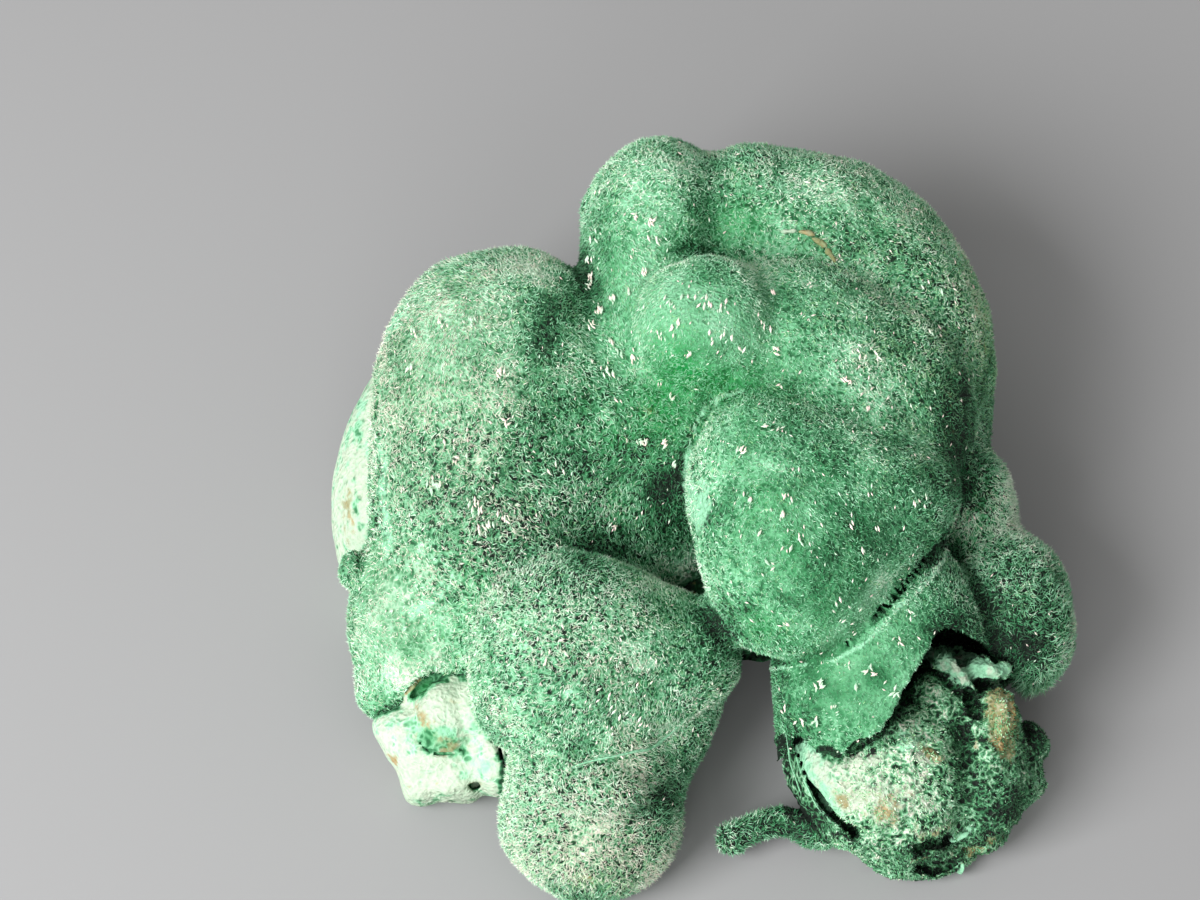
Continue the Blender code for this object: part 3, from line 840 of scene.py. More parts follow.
def attribute(tree, name):
    """Output of one column of the values at the points."""
    return put(tree, "Attribute", {}, attribute_name=name).outputs["Fac"]


def stone_finish(name, colours, grain, contrast, roughness, bump):
    """Green by the tone of the surface, broken up into short dashes with dark gaps where
    it has grit; vivid green, ash, mint, chalk and earth lie over it where it says so.
    The grain of the dashes and the height of the relief are in mm."""
    material, tree, shader = new_material(name)
    here = put(tree, "TexCoord", {}).outputs["Object"]
    cells = put(tree, "TexVoronoi", {"Vector": here, "Scale": 1 / (grain * MM)})
    worms = put(tree, "TexNoise", {"Vector": here, "Scale": 1 / (grain * MM * 1.6), "Detail": 1.0})
    dashes = sums(tree, "ABSOLUTE", sums(tree, "SUBTRACT", worms.outputs[0], 0.5), 0.0)
    dashes = sums(tree, "SUBTRACT", 0.85, sums(tree, "MULTIPLY", dashes, 4.5), True)
    fine = put(tree, "TexNoise", {"Vector": here, "Scale": 1 / (grain * MM * 2.2), "Detail": 3.0})
    broad = put(tree, "TexNoise", {"Vector": here, "Scale": 420.0, "Detail": 3.0})
    grit = sums(tree, "MULTIPLY", attribute(tree, "grit"), contrast)
    dash_tone = sums(tree, "SUBTRACT", dashes, 0.5)
    fine_tone = sums(tree, "MULTIPLY", sums(tree, "SUBTRACT", fine.outputs[0], 0.5), 1.2)
    tone = sums(tree, "ADD", attribute(tree, "tone"),
                sums(tree, "MULTIPLY", grit, sums(tree, "ADD", dash_tone, fine_tone)))
    paint = greens(tree, tone, colours)
    raised = greens(tree, sums(tree, "ADD", tone, 0.25), colours)
    vivid = mixed(tree, 1.0, colours.vivid, raised, "MULTIPLY")
    paint = mixed(tree, sums(tree, "MULTIPLY", attribute(tree, "vivid"), 0.6, True), paint, vivid)
    ash = mixed(tree, 1.0, colours.blush, paint, "MULTIPLY")
    paint = mixed(tree, sums(tree, "MULTIPLY", attribute(tree, "ash"), 1.0, True), paint, ash)
    tan = mixed(tree, eased(tree, broad.outputs[0], 0.5, 0.72), colours.earth, colours.rust)
    speck = sums(tree, "MULTIPLY", sums(tree, "SUBTRACT", fine.outputs[0], 0.5), 1.6)
    blot = sums(tree, "MULTIPLY", sums(tree, "SUBTRACT", broad.outputs[0], 0.5), 0.8)
    uneven = sums(tree, "ADD", speck, blot)
    for column, rgb in (("mint", colours.mint), ("chalk", colours.chalk), ("earth", tan)):
        share = eased(tree, sums(tree, "ADD", attribute(tree, column), uneven), 0.35, 0.75)
        worn = mixed(tree, sums(tree, "MULTIPLY", cells.outputs["Distance"], 0.35), rgb, paint)
        paint = mixed(tree, share, paint, worn)
    height = sums(tree, "SUBTRACT", sums(tree, "ADD", fine.outputs[0], dashes),
                  cells.outputs["Distance"])
    relief = put(tree, "Bump", {"Height": height, "Strength": 0.8, "Distance": bump * MM})
    tree.links.new(paint, shader.inputs["Base Color"])
    tree.links.new(relief.outputs[0], shader.inputs["Normal"])
    shader.inputs["Roughness"].default_value = roughness
    shader.inputs["Specular IOR Level"].default_value = 0.3
    return material


# Families of needles, by their colour
COOL, VIVID, OLIVE, ASH, CREAM = range(5)
FAMILIES = 5


def felt_finish(colours):
    """Needles read their colour from a palette: tone across, and up it the families, each
    from foot to tip: cool green, vivid green, olive, ash and cream."""
    material, tree, shader = new_material("needle_felt")
    palette = put(tree, "UVMap", {}, uv_map="palette").outputs[0]
    place = put(tree, "SeparateXYZ", {0: palette})
    family = sums(tree, "MULTIPLY", place.outputs[1], float(FAMILIES))
    along = sums(tree, "FRACT", family, 0.0)
    # Needles are darker at the foot and paler at the tip: painted shade between the needles and
    # painted light on their tips.
    tone = sums(tree, "ADD", place.outputs[0],
                sums(tree, "MULTIPLY", sums(tree, "SUBTRACT", along, 0.6), 0.24))
    paint = cool = greens(tree, tone, colours)
    for border, (share, rgb, how) in enumerate((
        (0.4, colours.vivid, "MIX"), (0.5, colours.earth, "OVERLAY"),
        (1.0, colours.blush, "MULTIPLY"), (0.7, colours.chalk, "OVERLAY"),
    ), 1):
        paint = mixed(tree, sums(tree, "GREATER_THAN", family, float(border)), paint,
                      mixed(tree, share, cool, rgb, how))
    tree.links.new(paint, shader.inputs["Base Color"])
    shader.inputs["Roughness"].default_value = 0.55
    shader.inputs["Specular IOR Level"].default_value = 0.4
    shader.inputs["Sheen Weight"].default_value = 0.15
    shader.inputs["Sheen Roughness"].default_value = 0.4
    return material


# ---------------------------------------------------------------- pieces

KEPT = {}                    # surfaces that later pieces stand on


def lay(name, step, relief):
    """One solid's surface: its net, settled on the field, then raised by its relief.
    Gives the mesh, its points and how open the surface is at each."""
    field = FIELDS[name]
    points, faces = surface_net(sampled(field, step), step)
    if not len(points):
        raise RuntimeError(name + " has no surface")
    points = settled(field, points, step)
    normals, _ = outwards(field, points, 0.3)
    points = points + normals * relief(points)[:, None]
    open_share = openness(points, normals)
    KEPT[name] = {"points": points, "faces": faces, "normals": normals, "open": open_share}
    return new_mesh(name, points, faces), points, open_share


def crust_relief(points):
    """Low swellings, felt clumps and fine bumps; the skirt is pitted and lines stand up."""
    skirt = soft_patches(points, PATCHES["pitted"])
    pits = np.clip(0.32 - grains(points, 1.5), 0, 1)
    return (0.28 * rough(points, 5.0, 2) + 0.10 * rough(points, 1.4, 2)
            - 0.9 * skirt * pits + 0.3 * pale_lines(points, RAISED_LINES) - 0.25)


def lie_of_tone(points, open_share):
    """Tone of the velvet: patches of its own tone and of painted light and shade, swellings of
    tone, and painted shade where it is closed in.
    """
    return (0.68 + soft_patches(points, PATCHES["tone"]) + 0.08 * rough(points, 6.0, 2)
            + 0.11 * rough(points, 2.2, 3) - 0.34 * (1 - stepped(open_share, 0.05, 0.6)))


def tinted(points, name):
    """Share of a tint: its patches, and mottles of 3.4 mm all over."""
    shift, strength = MOTTLES[name]
    mottles = np.clip(rough(points + shift, 3.4, 2), 0, 1)
    return soft_patches(points, PATCHES[name]) + strength * mottles


def minted(points):
    """Share of mint on the velvet: its patches and the pale lines."""
    return soft_patches(points, PATCHES["mint"]) + pale_lines(points, LINES)


def grit_of(points):
    """How strongly the felt breaks up into dashes with dark gaps: 0.9, its patches and a
    broad noise, kept within 0.15 and 1.5."""
    grit = 0.9 + soft_patches(points, PATCHES["grit"]) + 0.15 * rough(points, 5.0, 2)
    return np.clip(grit, 0.15, 1.5)


class MALACHITE_OT_crust(bpy.types.Operator):
    """Velvet crust over the lobes"""
    bl_idname = "malachite.crust"
    bl_label = "Crust"

    def execute(self, context):
        mesh, points, open_share = lay(
            "velvet_crust", context.scene.malachite_grain.crust, crust_relief)
        tone = lie_of_tone(points, open_share)
        KEPT["velvet_crust"]["tone"] = tone
        grit = grit_of(points)
        # Darker where the felt is gritty: painted shade in the gaps between the needles.
        put_values(
            mesh, tone=tone - 0.33 * grit, grit=grit, mint=minted(points) - 0.1,
            vivid=tinted(points, "vivid"), chalk=-1.0, ash=tinted(points, "ash"),
            earth=tinted(points, "earth") - 0.25)
        finish = stone_finish("velvet_crust", context.scene.malachite_colours,
                              grain=0.42, contrast=0.6, roughness=0.8, bump=0.18)
        finished("velvet_crust", mesh, finish)
        return {"FINISHED"}


# Patches of the bared nodule, laid out as the others are
CORE_PATCHES = {
    # tone: partly the nodule's own paler and darker patches, partly painted shade in the hollow
    # under the shell edge, in its grooves and on flanks turned from the light
    "tone": [
        (13.0, -25.0, 3.4, 5.0, 24, 0.20), (17.0, -26.0, 4.5, 4.5, 0, 0.12),
        (20.6, -21.6, 3.0, 2.4, 0, 0.16), (22.6, -26.5, 3.0, 3.0, 0, 0.10),
        (24.0, -18.5, 3.2, 2.6, 0, -0.04), (25.0, -22.0, 1.0, 3.4, 8, -0.20),
        (30.6, -26.0, 1.0, 3.0, 0, -0.24), (19.6, -17.6, 2.0, 1.2, -50, -0.20),
        (28.0, -25.5, 3.0, 3.0, 0, -0.08), (26.0, -11.2, 5.0, 1.4, 0, -0.45),
        (32.2, -18.0, 1.8, 3.0, 0, -0.45), (32.8, -22.4, 2.0, 2.4, 0, -0.22),
        (21.5, -32.6, 4.0, 3.0, 0, -0.16), (28.6, -29.4, 4.6, 1.8, 38, -0.24),
        (11.0, -30.0, 2.0, 2.0, 0, -0.3), (19.8, -18.8, 2.0, 1.4, 0, 0.2),
        (8.7, -23.8, 0.8, 2.8, 12, -0.2), (10.3, -27.8, 0.9, 2.4, 32, -0.2),
        (22.0, -17.6, 1.8, 1.6, 0, 0.12), (19.0, -21.0, 2.0, 1.4, 0, 0.08),
        (28.9, -18.6, 1.8, 2.4, 10, 0.25), (12.0, -22.0, 2.0, 1.4, 0, 0.14),
        (32.0, -24.5, 2.0, 2.0, 0, 0.15), (23.0, -24.4, 2.0, 1.5, 0, -0.12),
        (26.0, -27.4, 1.8, 1.8, 0, -0.18),
    ],
    "mint": [
        (10.6, -23.8, 1.5, 4.2, 22, 1.0), (12.6, -28.0, 1.0, 2.2, 38, 0.7),
        (24.8, -14.7, 3.2, 1.0, -46, 1.5), (27.8, -14.5, 2.6, 1.2, -6, 1.6),
        (31.3, -19.2, 0.4, 1.2, -14, 1.0),
        (10.2, -22.2, 1.0, 1.2, 10, 0.8), (8.4, -23.8, 0.7, 2.8, 12, -1.2),
        (10.0, -28.0, 0.8, 2.4, 32, -1.2), (19.4, -20.8, 1.4, 1.0, 0, 0.5),
        (25.4, -34.6, 0.8, 1.4, -16, 1.0), (25.0, -30.6, 1.6, 0.6, 24, 1.0),
        (20.4, -21.4, 2.0, 1.4, 20, 0.5), (33.2, -25.6, 1.2, 0.5, -35, 0.6),
    ],
    "chalk": [
        (10.6, -23.0, 1.2, 3.4, 22, 0.45), (8.5, -23.8, 0.8, 2.8, 12, -1.2),
        (10.1, -28.0, 0.9, 2.4, 32, -1.2), (24.8, -14.7, 3.2, 1.0, -46, 0.5),
        (27.8, -14.5, 2.6, 1.2, -6, 0.5),
        (14.2, -25.0, 2.6, 3.6, 24, 0.50), (17.8, -26.4, 4.2, 3.0, 0, 0.40),
        (17.4, -28.4, 1.3, 0.9, 20, 0.7), (13.8, -27.0, 1.2, 1.0, 0, 0.4),
        (21.4, -22.6, 1.4, 0.7, -12, 0.7), (22.2, -29.8, 2.0, 0.5, 14, 0.7),
        (16.0, -22.6, 2.8, 1.4, 0, 0.4), (21.5, -25.5, 2.6, 2.4, 0, 0.35),
        (22.0, -34.0, 4.0, 1.5, 0, 0.2),
    ],
    "earth": [
        (28.9, -18.6, 1.9, 2.5, 10, 1.2), (29.6, -22.0, 1.2, 1.8, 20, 0.75),
        (17.8, -26.8, 4.0, 2.6, 0, 0.34), (12.8, -25.0, 1.6, 2.4, 20, 0.14),
        (22.0, -22.3, 1.1, 0.6, -30, 1.0), (17.4, -28.4, 1.4, 1.0, 0, 0.5),
        (13.4, -26.6, 1.0, 1.0, 0, 0.5), (20.0, -20.4, 0.8, 0.9, 0, 0.5),
        (22.6, -30.0, 2.4, 0.6, 14, 0.6), (27.6, -31.8, 3.2, 0.9, 38, 0.62),
        (22.2, -14.0, 0.8, 1.2, 0, 0.6), (19.0, -35.8, 2.2, 0.7, 0, 0.5),
        (21.6, -33.0, 1.4, 0.5, 10, 0.6),
    ],
    # shapes of its relief: a patch of popcorn grains, a groove, broken layers and an even rim
    "popcorn": [(28.9, -18.7, 2.0, 2.7, 10, 1.0)],
    "groove": [(25.6, -21.0, 0.9, 4.0, 8, 1.0)],
    "layers": [(26.2, -14.6, 3.6, 1.8, -15, 1.0)],
    "even": [(11.6, -24.6, 2.0, 4.4, 24, 0.95)],
    # where it has less grit, and where few grains grow on it
    "smooth": [(11.6, -24.6, 1.6, 4.0, 26, 0.85)],
    "bare": [
        (10.6, -24.4, 2.0, 4.6, 24, 1.2), (9.0, -27.6, 1.2, 2.4, 24, 1.0),
        (24.8, -14.7, 3.2, 1.0, -46, 1.2), (27.8, -14.5, 2.6, 1.2, -6, 1.2),
    ],
}


def core_relief(points):
    """Rough lumps and grains; popcorn grains on the tan patch; broken layers in steps."""
    popcorn, groove, layers, even = (
        soft_patches(points, CORE_PATCHES[name])
        for name in ("popcorn", "groove", "layers", "even"))
    steps = rough(points, 3.4, 2) * 2.2
    return ((0.36 * rough(points, 4.4, 2) + 0.34 * rough(points, 1.7, 3)
             - 0.35 * grains(points, 0.8)) * (1 - even) - 0.9 * groove
            + popcorn * (1.0 - 1.5 * grains(points, 1.0))
            + layers * 0.5 * (np.floor(steps) + stepped(steps % 1.0, 0.4, 0.6)))


class MALACHITE_OT_core(bpy.types.Operator):
    """Bared inner nodule of the right leg"""
    bl_idname = "malachite.core"
    bl_label = "Bared core"

    def execute(self, context):
        mesh, points, open_share = lay(
            "bared_core", context.scene.malachite_grain.core, core_relief)
        # Painted shade: darker where the nodule is closed in, and there no mint, chalk or earth.
        tone = (0.54 + soft_patches(points, CORE_PATCHES["tone"]) + 0.10 * rough(points, 1.8, 3)
                - 0.55 * (1 - stepped(open_share, 0.05, 0.6)))
        KEPT["bared_core"]["tone"] = tone
        closed = 1.4 * (1 - stepped(open_share, 0.0, 0.4))
        put_values(
            mesh, tone=tone - 0.05, vivid=0.05,
            grit=1.2 - soft_patches(points, CORE_PATCHES["smooth"]), ash=0.7,
            **{column: soft_patches(points, CORE_PATCHES[column]) - closed
               for column in ("mint", "chalk", "earth")})
        finish = stone_finish("bared_core", context.scene.malachite_colours,
                              grain=0.5, contrast=0.8, roughness=0.75, bump=0.25)
        finished("bared_core", mesh, finish)
        return {"FINISHED"}


# Patches of the pale matrix
MATRIX_PATCHES = {
    # tone: partly the chalk's own darker spots, partly painted shade in the pocket, the crevice and
    # the hole
    "tone": [
        (-25.0, -28.5, 4.0, 1.6, 0, -0.4), (-27.6, -16.4, 1.6, 0.7, 42, -0.2),
        (-19.6, -22.8, 0.5, 2.0, 0, -0.5), (-26.0, -21.6, 2.4, 1.2, -10, -0.3),
        (-34.0, 4.0, 3.0, 14.0, -8, -0.24), (-26.0, -22.0, 9.0, 8.0, 0, -0.1),
        (-22.4, -26.2, 1.4, 0.8, 10, -0.15),
    ],
    "mint": [
        (-29.8, -20.4, 2.4, 1.8, 25, 0.6), (-21.6, -24.0, 1.8, 1.4, 8, 0.8),
        (-25.6, -27.8, 4.0, 0.9, 0, 0.5), (-33.4, 7.0, 1.0, 3.2, 20, 0.8),
        (-25.0, -20.8, 1.2, 0.7, 0, 0.45), (-22.4, -19.4, 1.2, 2.2, 20, 0.5),
        (-34.6, 0.5, 0.8, 2.0, 0, 0.5), (-34.2, 11.5, 0.7, 1.4, 20, 0.5),
    ],
    "chalk": [
        (-26.0, -23.0, 9.0, 6.0, 0, 0.42), (-34.0, 4.0, 3.0, 14.0, -8, 0.34),
        (-24.0, -18.0, 2.6, 2.4, 0, 0.3), (-26.0, -21.4, 2.6, 1.5, -10, -0.8),
        (-27.6, -16.6, 1.5, 0.6, 42, -1.0),
    ],
    "earth": [
        (-27.7, -19.0, 0.9, 1.6, 12, 0.6), (-25.8, -21.4, 2.4, 1.3, -12, 0.45),
        (-31.2, -24.2, 0.8, 3.0, -28, 0.36), (-35.6, 2.0, 0.7, 5.0, 0, 0.5),
        (-28.6, -16.2, 1.8, 0.5, 42, 1.1), (-24.4, -22.6, 2.0, 0.5, 10, 0.4),
        (-24.8, -17.8, 1.6, 1.2, 0, 0.2), (-30.4, -25.0, 0.7, 2.0, -20, 0.3),
        (-29.0, -27.4, 1.2, 0.8, -40, 0.4), (-22.0, -26.0, 1.0, 0.5, 0, 0.4),
    ],
    "vivid": [
        (-25.6, -21.0, 2.0, 1.2, 0, 0.6), (-27.6, -16.6, 1.5, 0.6, 42, 1.4),
        (-24.0, -28.8, 4.0, 1.2, 0, 0.4),
    ],
    # lumpy and pitted parts, and the pocket, which the light reaches
    "lumpy": [
        (-25.2, -19.4, 3.0, 3.4, 0, 1.0), (-25.0, -28.0, 6.0, 1.4, 0, 1.0),
        (-34.0, 4.0, 2.0, 14.0, -8, 0.5),
    ],
    "pocket": [(-27.6, -16.6, 1.4, 0.7, 42, 1.0)],
}


def matrix_relief(points):
    """Low noise of the worn chalk, and stronger noise and pits on its lumpy parts."""
    lumpy = soft_patches(points, MATRIX_PATCHES["lumpy"])
    return (0.12 * rough(points, 2.6, 2) + lumpy * (0.22 * rough(points, 1.3, 3)
            - 0.8 * np.clip(0.4 - grains(points, 1.0), 0, 1)))


class MALACHITE_OT_matrix(bpy.types.Operator):
    """Pale chalky matrix under the skirt and along the left rim"""
    bl_idname = "malachite.matrix"
    bl_label = "Pale matrix"

    def execute(self, context):
        mesh, points, open_share = lay(
            "pale_matrix", context.scene.malachite_grain.matrix, matrix_relief)
        # Painted shade where the chalk is closed in: darker, with less chalk, mint and earth, save
        # in the pocket, which the light reaches.
        closed = (0.6 * (1 - stepped(open_share, 0.0, 0.4))
                  * (1 - 0.7 * soft_patches(points, MATRIX_PATCHES["pocket"])))
        mint = 0.35 * rough(points, 2.2, 3)
        tinge = np.clip(mint + soft_patches(points, MATRIX_PATCHES["mint"]), 0, 1)
        base = {
            "chalk": 0.55 - 0.55 * tinge, "earth": 0.26 * rough(points, 1.4, 3), "mint": mint,
            "vivid": 0.0,
        }
        put_values(
            mesh, tone=0.86 + soft_patches(points, MATRIX_PATCHES["tone"]) - 0.7 * closed,
            grit=0.9, ash=0.2, **{
                column: start + soft_patches(points, MATRIX_PATCHES[column]) - 0.8 * closed
                for column, start in base.items()})
        finish = stone_finish("pale_matrix", context.scene.malachite_colours,
                              grain=0.5, contrast=0.4, roughness=0.85, bump=0.12)
        finished("pale_matrix", mesh, finish)
        return {"FINISHED"}


# Middle of the layers that the break cuts, and how much they are stretched along each axis
LAYER_MIDDLE, LAYER_STRETCH = (-4.0, 8.0, -10.0), (1.0, 1.1, 0.8)


def back_relief(points):
    """Broken faces: coarse noise, and sharper ribs where another noise passes zero."""
    ribs = 1 - np.abs(rough(points, 4.2, 3))
    return 1.5 * rough(points, 6.5, 3) + 0.8 * ribs - 0.8


class MALACHITE_OT_back(bpy.types.Operator):
    """Broken back, banded where the break cuts the layers"""
    bl_idname = "malachite.back"
    bl_label = "Broken back"

    def execute(self, context):
        mesh, points, open_share = lay(
            "broken_back", context.scene.malachite_grain.back, back_relief)
        radius = np.linalg.norm((points - LAYER_MIDDLE) / LAYER_STRETCH, axis=1)
        bands = np.sin(radius * 2.6 + 1.4 * rough(points, 7.0, 2))
        # Bands of the layers, and painted shade where the break is closed in.
        tone = (0.42 + 0.13 * bands + 0.10 * rough(points, 1.8, 2)
                - 0.5 * (1 - stepped(open_share, 0.1, 0.8)))
        put_values(
            mesh, tone=tone, mint=-0.5, vivid=0.4, grit=0.8, ash=0.0,
            chalk=0.9 * rough(points, 8.0, 2) - 0.35, earth=0.9 * rough(points, 6.0, 3) - 0.1)
        finish = stone_finish("broken_back", context.scene.malachite_colours,
                              grain=0.5, contrast=0.4, roughness=0.8, bump=0.2)
        finished("broken_back", mesh, finish)
        return {"FINISHED"}


# Felt pieces: which groups of the crust each covers
FELTS = {
    "felt_left": ("left",), "felt_top": ("top", "body"), "felt_centre": ("centre",),
    "felt_lower": ("lower", "left_leg"), "felt_right": ("shoulder", "shell", "finger"),
}
# How dense and how long the felt is on each group
DENSITY = {"left": 1.0, "top": 0.95, "centre": 1.0, "lower": 1.15, "left_leg": 1.25,
           "shoulder": 1.3, "shell": 0.9, "body": 0.4, "finger": 1.3}
LENGTHS = {"left": 1.0, "top": 1.0, "centre": 0.9, "lower": 0.9, "left_leg": 1.0,
           "shoulder": 1.0, "shell": 0.8, "body": 0.9, "finger": 1.1}
# Where the needles are longer
SHAGGY = [(32.0, -16.6, 4.0, 1.6, 0, 1.6), (-2.0, -30.0, 2.0, 4.0, 0, 0.4)]
# Where the needles lie over, tips down the face
COMBED = [(-25.0, 17.0, 8.0, 9.0, 0, 1.2), (-8.0, 20.0, 4.0, 12.0, 0, 1.6),
          (2.0, 18.0, 6.0, 6.0, 0, 0.8), (10.0, -2.0, 9.0, 9.0, 0, 0.6)]
SUNK = 0.12                  # mm that the feet of needles are sunk in the stone
GRAIN_LEAN = 1.2             # how far core grains lean over, against how far they stand up
# Faces of one needle and of one fleck, by the numbers of their points
NEEDLE = np.array(((0, 1, 3), (1, 2, 3), (2, 0, 3), (0, 2, 1)))
FLECK = np.array(((0, 1, 4), (1, 2, 4), (2, 3, 4), (3, 0, 4),
                  (1, 0, 5), (2, 1, 5), (3, 2, 5), (0, 3, 5)))


def repeated(pattern, count):
    """Faces of like solids: one's faces, moved on by its number of points for each."""
    start = np.arange(count) * (pattern.max() + 1)
    return (start[:, None, None] + pattern).reshape(-1, 3)


def unit(vectors):
    """Vectors scaled to a length of one."""
    return vectors / np.maximum(np.linalg.norm(vectors, axis=1, keepdims=True), 1e-9)


def needle_mesh(name, feet, ways, lengths, widths, tones, families, chance):
    """Closed needles: three points round a sunken foot and one at the tip, with four
    faces. Each needle's palette place is its tone across and its family and height up."""
    count = len(feet)
    turns = np.arange(3) * 2 * np.pi / 3
    side = unit(np.cross(ways, unit(chance.normal(size=(count, 3)))))
    other = np.cross(ways, side)
    corners = [
        feet - ways * SUNK + widths[:, None] / 2 * (side * cos(turn) + other * sin(turn))
        for turn in turns]
    corners.append(feet + ways * lengths[:, None])
    points = np.stack(corners, 1).reshape(-1, 3)
    mesh = new_mesh(name, points, repeated(NEEDLE, count), smooth=False)
    across = tones[:, None] + np.array((-0.008, 0.008, 0.0, 0.0))
    up = (families[:, None] + np.array((0.06, 0.06, 0.1, 0.94))) / FAMILIES
    palette = np.stack((np.clip(across, 0.004, 0.996), up), 2)[:, NEEDLE].reshape(-1, 2)
    for layer in ("palette", "OFBake"):
        mesh.uv_layers.new(name=layer).data.foreach_set("uv", palette.ravel())
    return mesh


def scatter(surface, weights, count, chance):
    """Places on quads drawn by weight, each at a random spot between its corners."""
    chosen = chance.choice(len(weights), count, p=weights / weights.sum())
    s, t = chance.random((2, count, 1))
    corners = surface["faces"][chosen]

    def between(name):
        values = surface[name][corners].reshape(count, 4, -1)
        return ((values[:, 0] * (1 - s) + values[:, 1] * s) * (1 - t)
                + (values[:, 3] * (1 - s) + values[:, 2] * s) * t)
    return between("points"), unit(between("normals")), between("tone")[:, 0]


def spread_of(surface):
    """Area, middle, facing and openness of each quad of a surface."""
    corners = surface["points"][surface["faces"]]
    area = np.linalg.norm(
        np.cross(corners[:, 2] - corners[:, 0], corners[:, 3] - corners[:, 1]), axis=1) / 2
    facing = unit(surface["normals"][surface["faces"]].mean(1))
    return area, corners.mean(1), facing, surface["open"][surface["faces"]].mean(1)


def combing(feet):
    """Which way the felt is combed: in slow swirls, and down the face on some ridges."""
    swirl = np.stack([noise(*feet.T, 7.0), noise(*(feet.T + 31.0), 7.0), 0 * feet[:, 0]], 1)
    return 0.9 * swirl + soft_patches(feet, COMBED)[:, None] * np.array((0.15, -1.0, 0.3))


def strewn(surface, weights, count, lean, chance):
    """Needles drawn by weight: feet, ways and tones. Each leans over by a random share
    towards a random side, or more to where the felt is combed."""
    feet, normals, tone = scatter(surface, weights, count, chance)
    over = unit(unit(chance.normal(size=(count, 3))) + combing(feet))
    over = over - normals * (over * normals).sum(1, keepdims=True)
    ways = unit(normals + lean * over * chance.uniform(0.4, 1.3, (count, 1)))
    return feet, ways, tone


def nearest_group(points):
    """Number of the group of the crust whose field is the least at each point."""
    return np.stack([group(*points.T, name) for name in CRUST], 1).argmin(1)


def by_group(table, near):
    """Values of a table of the groups at points, by the number of each one's group."""
    return np.array([table[name] for name in CRUST])[near]


def felt_sizes(feet, near, felt, chance):
    """Lengths and widths of needles, drawn about their means: longer where the felt is
    shaggy, combed or gritty, and thinner where it is gritty."""
    count = len(feet)
    grit = grit_of(feet)
    lengths = felt.length * by_group(LENGTHS, near)
    lengths = lengths * chance.uniform(0.6, 1.4, count)
    lengths = lengths * (1 + soft_patches(feet, SHAGGY) + 0.3 * soft_patches(feet, COMBED))
    widths = felt.width * chance.uniform(0.7, 1.3, count)
    return (lengths * np.clip(0.5 + 0.6 * grit, 0.6, 1.3),
            widths * np.clip(1.4 - 0.45 * grit, 0.9, 1.3))


def felt_tones(feet, tone, chance):
    """Tones of needles: the crust's, with its painted light and shade, spread by chance and by
    clumps, the more the grittier; a few are much paler, and so are those on mint."""
    count = len(feet)
    grit = grit_of(feet)
    clumps = 1.6 * rough(feet, 0.8, 2)
    tones = tone + 0.03 + 0.09 * grit + (0.03 + 0.11 * grit) * (
        0.75 * chance.normal(size=count) + 0.7 * clumps)
    tones = tones + 0.2 * (chance.random(count) < 0.03 + 0.04 * rough(feet, 4.0, 1))
    return np.clip(tones + 0.25 * np.clip(minted(feet), 0, 1), 0.03, 0.97)


def felt_families(feet, chance):
    """Families of needles: a few are cream, and the tints draw theirs where they lie."""
    families = np.where(chance.random(len(feet)) < 0.05, CREAM, COOL)
    for family, tint in ((ASH, "ash"), (VIVID, "vivid"), (OLIVE, "earth")):
        likely = 0.05 + 0.9 * tinted(feet, tint)
        families = np.where(chance.random(len(feet)) < likely, family, families)
    return families


class MALACHITE_OT_felt(bpy.types.Operator):
    """Felt of needles on the crust"""
    bl_idname = "malachite.felt"
    bl_label = "Needle felt"

    def execute(self, context):
        felt = context.scene.malachite_felt
        chance = np.random.default_rng(SEED + 1)
        surface = KEPT["velvet_crust"]
        area, middle, facing, open_share = spread_of(surface)
        buried = np.minimum.reduce([
            FIELDS[name](*middle.T) for name in ("bared_core", "pale_matrix", "broken_back")])
        weights = (
            area * by_group(DENSITY, nearest_group(middle))
            * (0.3 + 0.7 * stepped(facing[:, 2], -0.3, 0.35))
            * (buried > CLEAR) * (-ground(*middle.T) > BARE_FOOT) * (open_share > 0.06)
            * np.clip(1 - soft_patches(middle, PATCHES["bare"]), 0.02, 1))
        feet, ways, tone = strewn(surface, weights, felt.count, felt.lean, chance)
        near = nearest_group(feet)
        lengths, widths = felt_sizes(feet, near, felt, chance)
        tones = felt_tones(feet, tone, chance)
        families = felt_families(feet, chance)
        finish = felt_finish(context.scene.malachite_colours)
        numbers = {name: number for number, name in enumerate(CRUST)}
        for name, groups in FELTS.items():
            here = np.isin(near, [numbers[one] for one in groups])
            mesh = needle_mesh(name, feet[here], ways[here], lengths[here], widths[here],
                               tones[here], families[here], chance)
            finished(name, mesh, finish)
        return {"FINISHED"}


